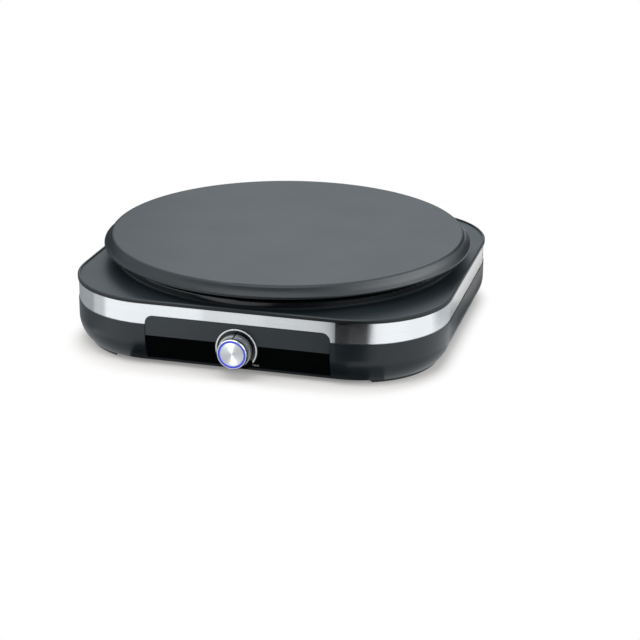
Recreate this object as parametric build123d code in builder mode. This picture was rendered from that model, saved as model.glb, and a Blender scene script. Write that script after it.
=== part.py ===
"""Electric crepe maker: a round cast cooking plate on a low rounded-square base.

Millimetres, +Z up. The origin is on the table, under the centre of the cooking plate.
The front, with the thermostat knob, faces -Y.
"""
from build123d import *
from math import cos, radians, sin, sqrt
import os

os.makedirs("parts", exist_ok=True)

# ------------------------------------------------------------------ driving dimensions
# Base, seen from above
base_width = 321.0  # left to right
base_depth = 307.0  # front to back
base_corner = 78.5  # radius of the plan's corners

# Lower casing
casing_top = 36.9  # height of its upper edge, where the steel band stands
casing_wall = 2.6
casing_floor = 2.4
rim_lift = 0.5  # height of its lowest edge over the table
rim_setback = 10.3  # from the casing's side in to the edge that stands round the underside
rim_width = 4.0
rim_depth = 2.7  # height of that edge
underside_radius = 26.0  # curve that pulls the sides in under the base
curve_top = 22.7  # height at which the curve starts
arch_lift = 2.5  # low arch cut in the front and back edge, between the corners
arch_half = 107.0
arch_run = 2.5  # sloping end of the arch

# Steel band
band_height = 17.7
band_thickness = 0.6
band_inset = 0.5  # how far the band stands behind the casing's side
band_backing = 0.2  # air between the band and the skirt that backs it
band_seam = 0.3  # butt seam at the back

# Top cover
cover_edge = 3.3  # height of the visible side over the band
cover_overhang = 0.4
cover_bevel = 0.8
lip_width = 2.2  # raised lip round the upper surface
lip_height = 1.0
skirt_wall = 2.4
tongue_wall = 1.6  # tongue that locates the cover inside the casing
tongue_depth = 4.0
tongue_gap = 0.2
collar_margin = 6.9  # from the base's nearest edge to the collar that carries the drip pan
collar_wall = 2.6
collar_height = 6.3
collar_root = 3.5  # hollow fillet at the collar's foot
recess_depth = 11.2  # from the collar's top down to the recess floor
recess_floor = 2.4

# Drip pan, the pressed steel dish that shields the base from the hot plate
pan_sheet = 0.8
pan_wall_gap = 0.8  # between the pan's wall and the collar
pan_draft = 0.6  # the wall leans in by this much at its foot
pan_skirt_gap = 0.6  # between the turned-down rim and the collar
pan_skirt = 5.0  # height of the turned-down rim
pan_bend = 1.2

# Cooking plate
plate_radius = 159.5
plate_gap = 5.7  # dark gap between the pan's rim and the plate's skirt
plate_skirt = 9.6  # height of the plate's edge
plate_thickness = 5.6
plate_shoulder = 3.5  # convex radius at the top of the edge
shoulder_turn = 65.0  # steepest slope of the edge, where the shoulder turns into the flare
flare_end = 27.0  # slope at the outer end of the flare
plate_lip = 2.1  # upright edge at the very bottom of the flare
lip_round = 0.8
plate_rim_width = 5.0  # ring that hangs below the plate's underside
boss_radius = 8.0
boss_drop = 7.3
mount_radius = 118.0  # circle of the four screws that hold the plate
mount_count = 4
mount_turn = 45.0  # angle of the first of them

# Heating element, a sheathed tube pressed into a cast rib under the plate
element_radius = 88.0
element_tube = 3.7
element_gap = 0.2
element_drop = 4.1  # tube centre below the plate's underside
rib_wall = 3.0
rib_drop = 6.7
element_open = 28.0  # angle left open between the two cold ends
element_bend = 9.0
element_tail = 13.0
bead_radius = 4.6
bead_length = 5.0
pin_radius = 1.2
pin_length = 6.0
tab_width = 6.3
tab_sheet = 0.8
tab_length = 8.0
tail_hole = 6.0  # radius of the holes that let the cold ends through the pan

# Screws, spacers and washers that hold the plate
plate_screw = 2.4  # shank radius
plate_screw_head = 4.6
plate_screw_head_height = 3.5
plate_screw_hold = 5.0  # length of thread inside the plate's boss
washer_radius = 6.0
washer_thickness = 1.0
spacer_radius = 5.0
screw_clearance = 0.3
thread_clearance = 0.1

# Casing screws, six from below
corner_screw_in_x = 40.5  # from the base's sides to the four corner screws
corner_screw_in_y = 68.5
side_screw_in = 20.5  # from the base's sides to the two middle screws
post_radius = 5.6
post_top = 34.0
head_bore = 4.0
head_seat = 26.0
casing_screw = 1.75
casing_screw_head = 3.6
casing_screw_head_height = 2.6
casing_screw_length = 21.0
boss_wall = 2.7
gusset_reach = 5.0  # ribs that brace each post
gusset_wall = 1.6
gusset_height = 14.0

# Feet
foot_in_x = 52.5  # from the base's sides
foot_in_y = 53.5
foot_radius = 9.0
foot_bevel = 0.8
foot_stub = 2.9
foot_stub_gap = 0.1
foot_bulb = 1.5

# Vent slots in the underside
vent_length = 40.0
vent_width = 3.0
vent_pitch = 9.0
vent_count = 9
vent_row = 64.0  # distance between the two rows

# Front panel
panel_width = 155.4
panel_rise = 7.6  # how far it reaches up into the steel band
panel_foot = 6.7
panel_lean = 5.6  # how far its lower half leans back
panel_thickness = 2.4
panel_inset = 0.6
panel_gap = 0.3
panel_corner = 6.6
crease_over_axis = 4.3  # crease above the knob's axis
reveal_wall = 2.2  # walls of the casing that frame the panel
reveal_depth = 14.0
hook_wall = 2.0  # snap hooks that hold the panel in its frame
hook_height = 14.0
hook_gap = 0.2

# Dial, a round flat boss on the panel
knob_height = 23.1  # height of the knob's axis
dial_radius = 18.0
dial_proud = 0.3
dial_wall = 2.4
dial_depth = 9.0
dish_radius = 15.5  # shallow dish that the knob stands in
dish_depth = 0.5
arc_radius = 16.9
arc_width = 1.1
arc_proud = 0.25
dial_sweep = 125.0  # from straight up to either end of the scale
lamp_circle = 9.0
lamp_count = 3
lamp_window = 1.7

# Knob
knob_rear_radius = 13.6
knob_front_radius = 12.9
knob_reach = 12.9  # front face in front of the panel
knob_air = 0.6  # between the knob and the dial
knob_skirt = 4.9
knob_groove = 0.8
knob_wall = 2.0
knob_web = 2.4
knob_front_stack = 2.6  # depth of the rings and cap that stand on its front
knob_bevel = 0.7
hub_radius = 5.2
hub_gap = 0.8
cap_radius = 9.85
cap_thickness = 2.0
cap_bevel = 0.3
ring_gap = 0.05
light_ring_width = 1.85
light_ring_back = 0.25
mark_width = 1.2  # pointer mark on top of the skirt
mark_depth = 0.5
clip_wall = 0.5
clip_length = 4.5
clip_split = 2.0

# Thermostat behind the panel
shaft_radius = 3.0
shaft_running = 0.05
shaft_flat = 1.0
shaft_in_body = 10.0
shaft_in_hub = 7.0
thermostat_width = 34.0
thermostat_depth = 22.0
thermostat_height = 23.0
neck_radius = 4.9
neck_length = 8.2
nut_flats = 14.0
nut_thickness = 2.5
bracket_back = 3.5  # bracket's front face behind the panel's frame
bracket_sheet = 1.2
bracket_width = 44.0
bracket_height = 33.0
bracket_foot = 32.0
bracket_boss = 4.0
bracket_boss_height = 3.0
bracket_screw_x = 16.0
bracket_screw_in = 26.5
small_screw = 1.5
small_screw_head = 2.8
small_screw_head_height = 1.8
small_screw_hold = 4.0

# Lamp board behind the dial
board_radius = 14.6
board_bore = 6.0
board_thickness = 1.2
board_stand = 2.2
board_post = 1.5
board_post_circle = 12.6
lamp_size = 2.6
lamp_air = 0.2

# Temperature sensor and thermal fuse under the plate
sensor_radius = 3.0
sensor_length = 55.0
sensor_y = -30.0
fuse_radius = 2.0
fuse_length = 14.0
fuse_y = 34.0
clip_sheet = 1.0
clip_ear = 9.0
clip_width = 10.0
clip_slack = 0.1
strap_screw_hold = 3.4
capillary_radius = 1.0
capillary_lead = 16.5
capillary_drop_to = 30.0
capillary_back = 11.0  # where it enters the thermostat, behind the bracket
capillary_bend = 6.0
capillary_hole = 2.6

# Mains inlet at the back
inlet_x = -60.0
inlet_height = 29.5
bushing_flange = 7.0
bushing_flange_thickness = 1.5
bushing_neck = 5.0
bushing_bore = 3.6
bushing_inside = 3.0
bushing_gap = 0.1
clamp_in = 23.5  # cord clamp's centre, in from the back
clamp_spread = 9.0
clamp_post = 3.6
clamp_post_top = 20.0
clamp_width = 26.0
clamp_depth = 8.0
clamp_thickness = 4.0
block_in = 45.0
block_width = 34.0
block_depth = 18.0
block_height = 14.0
block_pad = 2.0
block_poles = 3
block_pitch = 10.0
block_screw = 1.6
block_screw_slack = 0.3
block_screw_depth = 6.0
block_wire_hole = 1.7
block_wire_height = 4.0

# Wiring inside the base
wire_radius = 1.1
wire_bend = 7.0
wire_crossing = 16.0  # height of the wires that cross the base
wire_turn_y = -60.0  # where the live wire turns to the thermostat
wire_rise_x = 20.0  # where wires rise through the pan to the fuse, either side of it
wire_hole = 2.5
neutral_turn = 30.5  # in front of the terminal block
tag_x = -38.0  # earth tag under the pan
tag_y = 66.0
tag_radius = 4.0
tag_sheet = 0.8
tag_tail = 9.0
thermostat_tab_x = 8.0
thermostat_tab_drop = 6.0  # below the knob's axis

# ------------------------------------------------------------------ worked-out places
half_width = base_width / 2
half_depth = base_depth / 2
front_y = -half_depth
back_y = half_depth

floor_under = rim_lift + rim_depth
floor_top = floor_under + casing_floor
curve_foot = curve_top - underside_radius

band_top = casing_top + band_height
band_back = band_inset + band_thickness + band_backing
cover_surface = band_top + cover_edge - lip_height
collar_outer = min(half_width, half_depth) - collar_margin
collar_inner = collar_outer - collar_wall
collar_top = cover_surface + collar_height
recess_top = collar_top - recess_depth
recess_under = recess_top - recess_floor
recess_opening = mount_radius - washer_radius - boss_wall - screw_clearance

pan_floor = recess_top + pan_sheet
pan_top = collar_top + pan_sheet
pan_rim = collar_outer + pan_skirt_gap + pan_sheet

plate_foot = pan_top + plate_gap
plate_top = plate_foot + plate_skirt
plate_under = plate_top - plate_thickness
boss_foot = plate_under - boss_drop
element_z = plate_under - element_drop

panel_half = panel_width / 2
panel_top = casing_top + panel_rise
panel_face = front_y + panel_inset
hook_root = panel_face + 0.9 * panel_thickness  # inside the wall, also where it leans back
crease_z = knob_height + crease_over_axis
frame_half = panel_half + panel_gap + reveal_wall
frame_back = front_y + reveal_depth

dial_face = panel_face - dial_proud
knob_rear = dial_face - knob_air
knob_front = panel_face - knob_reach
knob_seat = knob_front + knob_front_stack
knob_axis = Axis((0, 0, knob_height), (0, 1, 0))

bracket_front = frame_back + bracket_back
bracket_rear = bracket_front + bracket_sheet
bracket_base = floor_top + bracket_boss_height
shaft_end = bracket_rear + shaft_in_body

corner_x = half_width - corner_screw_in_x
corner_y = half_depth - corner_screw_in_y
side_x = half_width - side_screw_in
screw_points = [(sx * corner_x, sy * corner_y) for sx in (-1, 1) for sy in (-1, 1)]
screw_points += [(-side_x, 0), (side_x, 0)]
foot_points = [
    (sx * (half_width - foot_in_x), sy * (half_depth - foot_in_y)) for sx in (-1, 1) for sy in (-1, 1)
]
bracket_points = [(side * bracket_screw_x, bracket_front + bracket_screw_in) for side in (-1, 1)]
clamp_points = [(inlet_x + side * clamp_spread, back_y - clamp_in) for side in (-1, 1)]
strap_points = [
    (0, y + way * (rod + clip_slack + clip_sheet + clip_ear / 2))
    for y, rod in ((sensor_y, sensor_radius), (fuse_y, fuse_radius))
    for way in (-1, 1)
]
block_y = back_y - block_in
pole_points = [(inlet_x + (i - (block_poles - 1) / 2) * block_pitch, block_y) for i in range(block_poles)]


def level(z):
    """A horizontal drawing plane at height z."""
    return Plane.XY.offset(z)


def facing(y):
    """An upright drawing plane at depth y: X to the right, Z up, normal to the front."""
    return Plane(origin=(0, y, 0), x_dir=(1, 0, 0), z_dir=(0, -1, 0))


def upright(angle):
    """An upright drawing plane through the Z axis: X points outwards at this angle, Y up."""
    turn = radians(angle)
    return Plane(origin=(0, 0, 0), x_dir=(cos(turn), sin(turn), 0), z_dir=(sin(turn), -cos(turn), 0))


def outline(inset=0.0, mode=Mode.ADD):
    """The base's plan, moved in evenly all round."""
    return RectangleRounded(base_width - 2 * inset, base_depth - 2 * inset, base_corner - inset, mode=mode)


def mounts():
    """The four places where the plate is screwed down."""
    return PolarLocations(mount_radius, mount_count, start_angle=mount_turn)


# ------------------------------------------------------------------ lower casing
# The outer form: straight sides that curve in under the base, down to a low upright edge.
with BuildPart() as casing_form:
    with BuildSketch(level(curve_foot)):
        outline()
    extrude(amount=casing_top - curve_foot)
    fillet(casing_form.edges().group_by(Axis.Z)[0], radius=underside_radius)
    split(bisect_by=level(rim_lift), keep=Keep.TOP)
    with BuildSketch(level(rim_lift)):
        outline(rim_setback)
    extrude(amount=rim_depth + casing_floor)

# The hollow follows the outer form at one wall's thickness, down to a flat floor.
with BuildPart() as casing_hollow:
    with BuildSketch(level(curve_foot + casing_wall)):
        outline(casing_wall)
    extrude(amount=casing_top - curve_foot)
    fillet(casing_hollow.edges().group_by(Axis.Z)[0], radius=underside_radius - casing_wall)
    split(bisect_by=level(floor_top), keep=Keep.TOP)

# The walls and ledge that frame the front panel, trimmed to the outer form.
with BuildPart() as panel_frame:
    add(casing_form.part)
    with BuildSketch(level(rim_lift)):
        with Locations((0, front_y)):
            Rectangle(2 * frame_half, 2 * reveal_depth)
    extrude(amount=casing_top - rim_lift, mode=Mode.INTERSECT)

with BuildPart() as lower_casing:
    add(casing_form.part)
    add(casing_hollow.part, mode=Mode.SUBTRACT)
    add(panel_frame.part)
    # Screw posts, bracket bosses, clamp posts and the pad under the terminal block
    with BuildSketch(level(floor_under)):
        with Locations(*screw_points):
            Circle(post_radius)
    extrude(amount=post_top - floor_under)
    with BuildSketch(level(floor_under)):
        with Locations(*screw_points):
            Rectangle(2 * (post_radius + gusset_reach), gusset_wall)
            Rectangle(gusset_wall, 2 * (post_radius + gusset_reach))
    extrude(amount=casing_floor + gusset_height)
    with BuildSketch(level(floor_under)):
        with Locations(*bracket_points):
            Circle(bracket_boss)
    extrude(amount=bracket_base - floor_under)
    with BuildSketch(level(floor_under)):
        with Locations(*clamp_points):
            Circle(clamp_post)
    extrude(amount=clamp_post_top - floor_under)
    with BuildSketch(level(floor_under)):
        with Locations((inlet_x, block_y)):
            Rectangle(block_width, block_depth)
    extrude(amount=floor_top + block_pad - floor_under)
    # Opening for the front panel
    with BuildSketch(level(panel_foot - panel_gap)):
        with Locations((0, front_y)):
            Rectangle(2 * (panel_half + panel_gap), 2 * reveal_depth)
    extrude(amount=casing_top, mode=Mode.SUBTRACT)
    # Underside: recessed inside the standing edge, which is arched at front and back
    with BuildSketch(level(rim_lift)):
        outline(rim_setback + rim_width)
    extrude(amount=rim_depth, mode=Mode.SUBTRACT)
    with BuildSketch(Plane.XZ):
        with BuildLine():
            Polyline(
                (-arch_half - arch_run, rim_lift),
                (-arch_half, rim_lift + arch_lift),
                (arch_half, rim_lift + arch_lift),
                (arch_half + arch_run, rim_lift),
                close=True,
            )
        make_face()
    extrude(amount=base_depth, both=True, mode=Mode.SUBTRACT)
    # Screw holes from below, with deep bores for the heads
    with BuildSketch(level(floor_under)):
        with Locations(*screw_points):
            Circle(head_bore)
    extrude(amount=head_seat - floor_under, mode=Mode.SUBTRACT)
    with BuildSketch(level(head_seat)):
        with Locations(*screw_points):
            Circle(casing_screw + screw_clearance)
    extrude(amount=post_top - head_seat, mode=Mode.SUBTRACT)
    # Pilot holes for the small screws inside
    with BuildSketch(level(bracket_base - small_screw_hold)):
        with Locations(*bracket_points):
            Circle(small_screw + thread_clearance)
    extrude(amount=small_screw_hold, mode=Mode.SUBTRACT)
    with BuildSketch(level(clamp_post_top - small_screw_hold)):
        with Locations(*clamp_points):
            Circle(small_screw + thread_clearance)
    extrude(amount=small_screw_hold, mode=Mode.SUBTRACT)
    # Holes for the feet's stubs, and the vent slots
    with BuildSketch(level(floor_under)):
        with Locations(*foot_points):
            Circle(foot_stub + foot_stub_gap)
        with GridLocations(vent_pitch, vent_row, vent_count, 2):
            SlotOverall(vent_length, vent_width, rotation=90)
    extrude(amount=casing_floor, mode=Mode.SUBTRACT)
    # Hole for the mains inlet
    with BuildSketch(facing(back_y)):
        with Locations((inlet_x, inlet_height)):
            Circle(bushing_neck + bushing_gap)
    extrude(amount=2 * casing_wall, mode=Mode.SUBTRACT)
lower_casing.part.label = "lower_casing"
export_step(lower_casing.part, "parts/lower_casing.step")

# ------------------------------------------------------------------ feet
with BuildPart() as rubber_feet:
    with BuildSketch(level(0)):
        with Locations(*foot_points):
            Circle(foot_radius)
    extrude(amount=floor_under)
    chamfer(rubber_feet.edges().group_by(Axis.Z)[0], length=foot_bevel)
    with BuildSketch(level(floor_under)):
        with Locations(*foot_points):
            Circle(foot_stub)
    extrude(amount=casing_floor + foot_bulb)
rubber_feet.part.label = "rubber_feet"
export_step(rubber_feet.part, "parts/rubber_feet.step")

# ------------------------------------------------------------------ steel band
with BuildPart() as steel_band:
    with BuildSketch(level(casing_top)):
        outline(band_inset)
        outline(band_inset + band_thickness, mode=Mode.SUBTRACT)
    extrude(amount=band_height)
    # Notch round the panel's top, and the butt seam at the back
    with BuildSketch(facing(front_y + reveal_depth)):
        with Locations((0, casing_top)):
            RectangleRounded(
                2 * (panel_half + panel_gap), 2 * (panel_rise + panel_gap), panel_corner + panel_gap
            )
    extrude(amount=2 * reveal_depth, mode=Mode.SUBTRACT)
    with BuildSketch(level(casing_top)):
        with Locations((0, back_y)):
            Rectangle(band_seam, 2 * reveal_depth)
    extrude(amount=band_height, mode=Mode.SUBTRACT)
steel_band.part.label = "steel_band"
export_step(steel_band.part, "parts/steel_band.step")

# ------------------------------------------------------------------ top cover
with BuildPart() as top_cover:
    # Visible slab with its bevelled edge and raised lip
    with BuildSketch(level(band_top)):
        outline(-cover_overhang)
    extrude(amount=cover_edge)
    chamfer(top_cover.edges().group_by(Axis.Z)[-1], length=cover_bevel)
    with BuildSketch(level(cover_surface)):
        outline(lip_width - cover_overhang)
    extrude(amount=lip_height, mode=Mode.SUBTRACT)
    # Collar, rooted in the surface with a hollow fillet
    with BuildSketch(level(cover_surface)):
        Circle(collar_outer)
    extrude(amount=collar_height)
    fillet(
        top_cover.edges()
        .filter_by(GeomType.CIRCLE)
        .filter_by(lambda e: abs(e.radius - collar_outer) < collar_wall)
        .filter_by_position(Axis.Z, cover_surface, cover_surface),
        radius=collar_root,
    )
    # Walls that hang from the slab: recess, skirt behind the band, and locating tongue
    with BuildSketch(level(recess_under)):
        Circle(collar_outer)
    extrude(amount=band_top - recess_under)
    with BuildSketch(level(casing_top)):
        outline(band_back)
        outline(band_back + skirt_wall, mode=Mode.SUBTRACT)
    extrude(amount=band_height)
    with BuildSketch(level(casing_top - tongue_depth)):
        outline(casing_wall + tongue_gap)
        outline(casing_wall + tongue_gap + tongue_wall, mode=Mode.SUBTRACT)
    extrude(amount=2 * tongue_depth)
    # Bosses over the casing's posts
    with BuildSketch(level(post_top)):
        with Locations(*screw_points):
            Circle(casing_screw + boss_wall)
    extrude(amount=band_top - post_top)
    # Recess, its middle opening and the holes for the plate's screws
    with BuildSketch(level(recess_top)):
        Circle(collar_inner)
    extrude(amount=recess_depth, mode=Mode.SUBTRACT)
    with BuildSketch(level(recess_under)):
        Circle(recess_opening)
        with mounts():
            Circle(plate_screw + screw_clearance)
    extrude(amount=recess_floor, mode=Mode.SUBTRACT)
    with BuildSketch(level(post_top)):
        with Locations(*screw_points):
            Circle(casing_screw + thread_clearance)
    extrude(amount=casing_screw_length - (post_top - head_seat) + thread_clearance, mode=Mode.SUBTRACT)
    # Room for the panel and for the casing's walls that frame it
    with BuildSketch(facing(frame_back)):
        with Locations((0, casing_top)):
            RectangleRounded(
                2 * (panel_half + panel_gap), 2 * (panel_rise + panel_gap), panel_corner + panel_gap
            )
    extrude(amount=2 * reveal_depth, mode=Mode.SUBTRACT)
    with BuildSketch(level(casing_top - tongue_depth)):
        with Locations((0, front_y)):
            Rectangle(2 * (frame_half + tongue_gap), 2 * (reveal_depth + tongue_wall))
    extrude(amount=tongue_depth, mode=Mode.SUBTRACT)
    # Gap in the tongue over the mains inlet
    with BuildSketch(level(casing_top - tongue_depth)):
        with Locations((inlet_x, back_y)):
            Rectangle(2 * bushing_flange, 2 * (casing_wall + tongue_gap + tongue_wall + skirt_wall))
    extrude(amount=tongue_depth, mode=Mode.SUBTRACT)
top_cover.part.label = "top_cover"
export_step(top_cover.part, "parts/top_cover.step")

# ------------------------------------------------------------------ casing screws
with BuildPart() as casing_screws:
    with BuildSketch(level(head_seat - casing_screw_head_height)):
        with Locations(*screw_points):
            Circle(casing_screw_head)
            RegularPolygon(casing_screw, 6, mode=Mode.SUBTRACT)
    extrude(amount=casing_screw_head_height / 2)
    with BuildSketch(level(head_seat - casing_screw_head_height / 2)):
        with Locations(*screw_points):
            Circle(casing_screw_head)
    extrude(amount=casing_screw_head_height / 2)
    with BuildSketch(level(head_seat)):
        with Locations(*screw_points):
            Circle(casing_screw)
    extrude(amount=casing_screw_length)
casing_screws.part.label = "casing_screws"
export_step(casing_screws.part, "parts/casing_screws.step")

# ------------------------------------------------------------------ cooking plate
# The edge is an S: a convex shoulder, then a hollow flare whose radius makes up the height.
steep = radians(shoulder_turn)
shallow = radians(flare_end)
shoulder_drop = plate_shoulder * (1 - cos(steep))
flare_radius = (plate_skirt - plate_lip - shoulder_drop) / (cos(shallow) - cos(steep))
flat_radius = plate_radius - plate_shoulder * sin(steep) - flare_radius * (sin(steep) - sin(shallow))
element_from = 90 + element_open / 2
element_to = 450 - element_open / 2
groove = element_tube + element_gap

with BuildPart() as cooking_plate:
    # Disc with a convex shoulder that runs out into a flared edge
    with BuildSketch(Plane.XZ):
        with BuildLine():
            flat = Line((0, plate_top), (flat_radius, plate_top))
            shoulder = JernArc(flat @ 1, flat % 1, plate_shoulder, -shoulder_turn)
            flare = JernArc(shoulder @ 1, shoulder % 1, flare_radius, shoulder_turn - flare_end)
            Polyline(
                flare @ 1,
                (plate_radius, plate_foot),
                (plate_radius - plate_rim_width, plate_foot),
                (plate_radius - plate_rim_width, plate_under),
                (0, plate_under),
                (0, plate_top),
            )
        make_face()
    revolve(axis=Axis.Z)
    fillet(
        cooking_plate.edges()
        .filter_by(GeomType.CIRCLE)
        .filter_by(lambda e: abs(e.radius - plate_radius) < lip_round / 2),
        radius=lip_round,
    )
    # Screw bosses
    with BuildSketch(level(boss_foot)):
        with mounts():
            Circle(boss_radius)
    extrude(amount=boss_drop)
    # Rib that holds the heating element, open between the element's two ends
    with BuildSketch(upright(element_from)):
        with Locations((element_radius, plate_under - rib_drop / 2)):
            Rectangle(2 * (groove + rib_wall), rib_drop)
    revolve(axis=Axis.Z, revolution_arc=element_to - element_from)
    with BuildSketch(upright(element_from)):
        with Locations((element_radius, element_z)):
            Circle(groove)
        with Locations((element_radius, (element_z + plate_under - rib_drop) / 2)):
            Rectangle(2 * groove, element_z - plate_under + rib_drop)
    revolve(axis=Axis.Z, revolution_arc=element_to - element_from, mode=Mode.SUBTRACT)
    with BuildSketch(level(boss_foot)):
        with mounts():
            Circle(plate_screw + thread_clearance)
    extrude(amount=plate_screw_hold + thread_clearance, mode=Mode.SUBTRACT)
    with BuildSketch(level(plate_under)):
        with Locations(*strap_points):
            Circle(small_screw + thread_clearance)
    extrude(amount=strap_screw_hold + thread_clearance, mode=Mode.SUBTRACT)
cooking_plate.part.label = "cooking_plate"
export_step(cooking_plate.part, "parts/cooking_plate.step")

# ------------------------------------------------------------------ heating element
# Each end of the ring bends down through a quarter turn and runs straight through the pan.
element_ends = []
for angle, way in ((element_from, -1), (element_to, 1)):
    out = Vector(cos(radians(angle)), sin(radians(angle)), 0)
    heading = Vector(-out.Y, out.X, 0) * way
    start = out * element_radius + Vector(0, 0, element_z)
    pivot = start - Vector(0, 0, element_bend)
    foot = pivot + heading * element_bend
    element_ends.append((start, out, heading, way, pivot, foot))

with BuildPart() as heating_element:
    with BuildSketch(upright(element_from)):
        with Locations((element_radius, element_z)):
            Circle(element_tube)
    revolve(axis=Axis.Z, revolution_arc=element_to - element_from)
    for start, out, heading, way, pivot, foot in element_ends:
        with BuildSketch(Plane(origin=start, x_dir=out, z_dir=heading)):
            Circle(element_tube)
        revolve(axis=Axis(pivot, out * -way), revolution_arc=90)
        with BuildSketch(Plane(origin=foot, x_dir=out, z_dir=(0, 0, -1))):
            Circle(element_tube)
        extrude(amount=element_tail)
heating_element.part.label = "heating_element"
export_step(heating_element.part, "parts/heating_element.step")

tail_points = [(foot.X, foot.Y) for *_, foot in element_ends]
tail_foot = element_z - element_bend - element_tail

with BuildPart() as element_beads:
    with BuildSketch(level(tail_foot - bead_length)):
        with Locations(*tail_points):
            Circle(bead_radius)
            Circle(pin_radius + thread_clearance, mode=Mode.SUBTRACT)
    extrude(amount=bead_length)
element_beads.part.label = "element_beads"
export_step(element_beads.part, "parts/element_beads.step")

with BuildPart() as element_terminals:
    with BuildSketch(level(tail_foot - bead_length - pin_length)):
        with Locations(*tail_points):
            Circle(pin_radius)
    extrude(amount=bead_length + pin_length)
    with BuildSketch(level(tail_foot - bead_length - pin_length - tab_length)):
        with Locations(*tail_points):
            Rectangle(tab_width, tab_sheet)
    extrude(amount=tab_length)
element_terminals.part.label = "element_terminals"
export_step(element_terminals.part, "parts/element_terminals.step")

# ------------------------------------------------------------------ drip pan
with BuildPart() as drip_pan:
    with BuildSketch(Plane.XZ):
        with BuildLine():
            wall_top = collar_inner - pan_wall_gap
            wall_foot = wall_top - pan_draft
            Polyline(
                (0, recess_top),
                (wall_foot, recess_top),
                (wall_top, collar_top),
                (pan_rim - pan_sheet, collar_top),
                (pan_rim - pan_sheet, pan_top - pan_skirt),
                (pan_rim, pan_top - pan_skirt),
                (pan_rim, pan_top),
                (wall_top - pan_sheet, pan_top),
                (wall_foot - pan_sheet, pan_floor),
                (0, pan_floor),
                close=True,
            )
        make_face()
    revolve(axis=Axis.Z)
    fillet(
        drip_pan.edges()
        .filter_by(GeomType.CIRCLE)
        .filter_by(lambda e: abs(e.radius - pan_rim) < pan_sheet / 2)
        .sort_by(Axis.Z)[-1],
        radius=pan_bend,
    )
    with BuildSketch(level(recess_top)):
        with mounts():
            Circle(plate_screw + screw_clearance)
        with Locations(*tail_points):
            Circle(tail_hole)
        with Locations((sensor_length / 2 + capillary_lead, sensor_y)):
            Circle(capillary_hole)
        with Locations((-wire_rise_x, fuse_y), (wire_rise_x, fuse_y)):
            Circle(wire_hole)
        with Locations((tag_x, tag_y)):
            Circle(small_screw + screw_clearance)
    extrude(amount=pan_sheet, mode=Mode.SUBTRACT)
drip_pan.part.label = "drip_pan"
export_step(drip_pan.part, "parts/drip_pan.step")

# ------------------------------------------------------------------ plate fastening
with BuildPart() as plate_spacers:
    with BuildSketch(level(pan_floor)):
        with mounts():
            Circle(spacer_radius)
            Circle(plate_screw + screw_clearance, mode=Mode.SUBTRACT)
    extrude(amount=boss_foot - pan_floor)
plate_spacers.part.label = "plate_spacers"
export_step(plate_spacers.part, "parts/plate_spacers.step")

with BuildPart() as plate_washers:
    with BuildSketch(level(recess_under - washer_thickness)):
        with mounts():
            Circle(washer_radius)
            Circle(plate_screw + screw_clearance, mode=Mode.SUBTRACT)
    extrude(amount=washer_thickness)
plate_washers.part.label = "plate_washers"
export_step(plate_washers.part, "parts/plate_washers.step")

with BuildPart() as plate_screws:
    with BuildSketch(level(recess_under - washer_thickness - plate_screw_head_height)):
        with mounts():
            RegularPolygon(plate_screw_head, 6)
    extrude(amount=plate_screw_head_height)
    with BuildSketch(level(recess_under - washer_thickness)):
        with mounts():
            Circle(plate_screw)
    extrude(amount=boss_foot + plate_screw_hold - recess_under + washer_thickness)
plate_screws.part.label = "plate_screws"
export_step(plate_screws.part, "parts/plate_screws.step")


# ------------------------------------------------------------------ sensor and fuse
def saddle_profile(rod_radius):
    """Side view of a strap over a rod that lies against the plate, with a flat ear each side."""
    bore = rod_radius + clip_slack
    with Locations((0, plate_under - bore)):
        Circle(bore + clip_sheet)
    with Locations((0, plate_under - bore / 2)):
        Rectangle(2 * (bore + clip_sheet), bore)
    with Locations((0, plate_under + bore)):
        Rectangle(2 * (bore + clip_sheet), 2 * bore, mode=Mode.SUBTRACT)
    with Locations((0, plate_under - bore)):
        Circle(bore, mode=Mode.SUBTRACT)
    with Locations((0, plate_under - bore / 2)):
        Rectangle(2 * bore, bore, mode=Mode.SUBTRACT)
    for way in (-1, 1):
        with Locations((way * (bore + clip_sheet + clip_ear / 2), plate_under - clip_sheet / 2)):
            Rectangle(clip_ear, clip_sheet)


def along_x(y):
    """An upright drawing plane across X at the middle of a rod: Y to the right, Z up."""
    return Plane(origin=(0, y, 0), x_dir=(0, 1, 0), z_dir=(1, 0, 0))


sensor_z = plate_under - sensor_radius - clip_slack
fuse_z = plate_under - fuse_radius - clip_slack

with BuildPart() as sensor_bulb:
    with BuildSketch(along_x(sensor_y)):
        with Locations((0, sensor_z)):
            Circle(sensor_radius)
    extrude(amount=sensor_length / 2, both=True)
    fillet(sensor_bulb.edges().filter_by(GeomType.CIRCLE), radius=sensor_radius / 2)
sensor_bulb.part.label = "sensor_bulb"
export_step(sensor_bulb.part, "parts/sensor_bulb.step")

with BuildPart() as sensor_strap:
    with BuildSketch(along_x(sensor_y)):
        saddle_profile(sensor_radius)
    extrude(amount=clip_width / 2, both=True)
    with BuildSketch(level(plate_under)):
        with Locations(*strap_points):
            Circle(small_screw + screw_clearance)
    extrude(amount=-clip_sheet, mode=Mode.SUBTRACT)
sensor_strap.part.label = "sensor_strap"
export_step(sensor_strap.part, "parts/sensor_strap.step")

with BuildPart() as thermal_fuse:
    with BuildSketch(along_x(fuse_y)):
        with Locations((0, fuse_z)):
            Circle(fuse_radius)
    extrude(amount=fuse_length / 2, both=True)
thermal_fuse.part.label = "thermal_fuse"
export_step(thermal_fuse.part, "parts/thermal_fuse.step")

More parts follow.
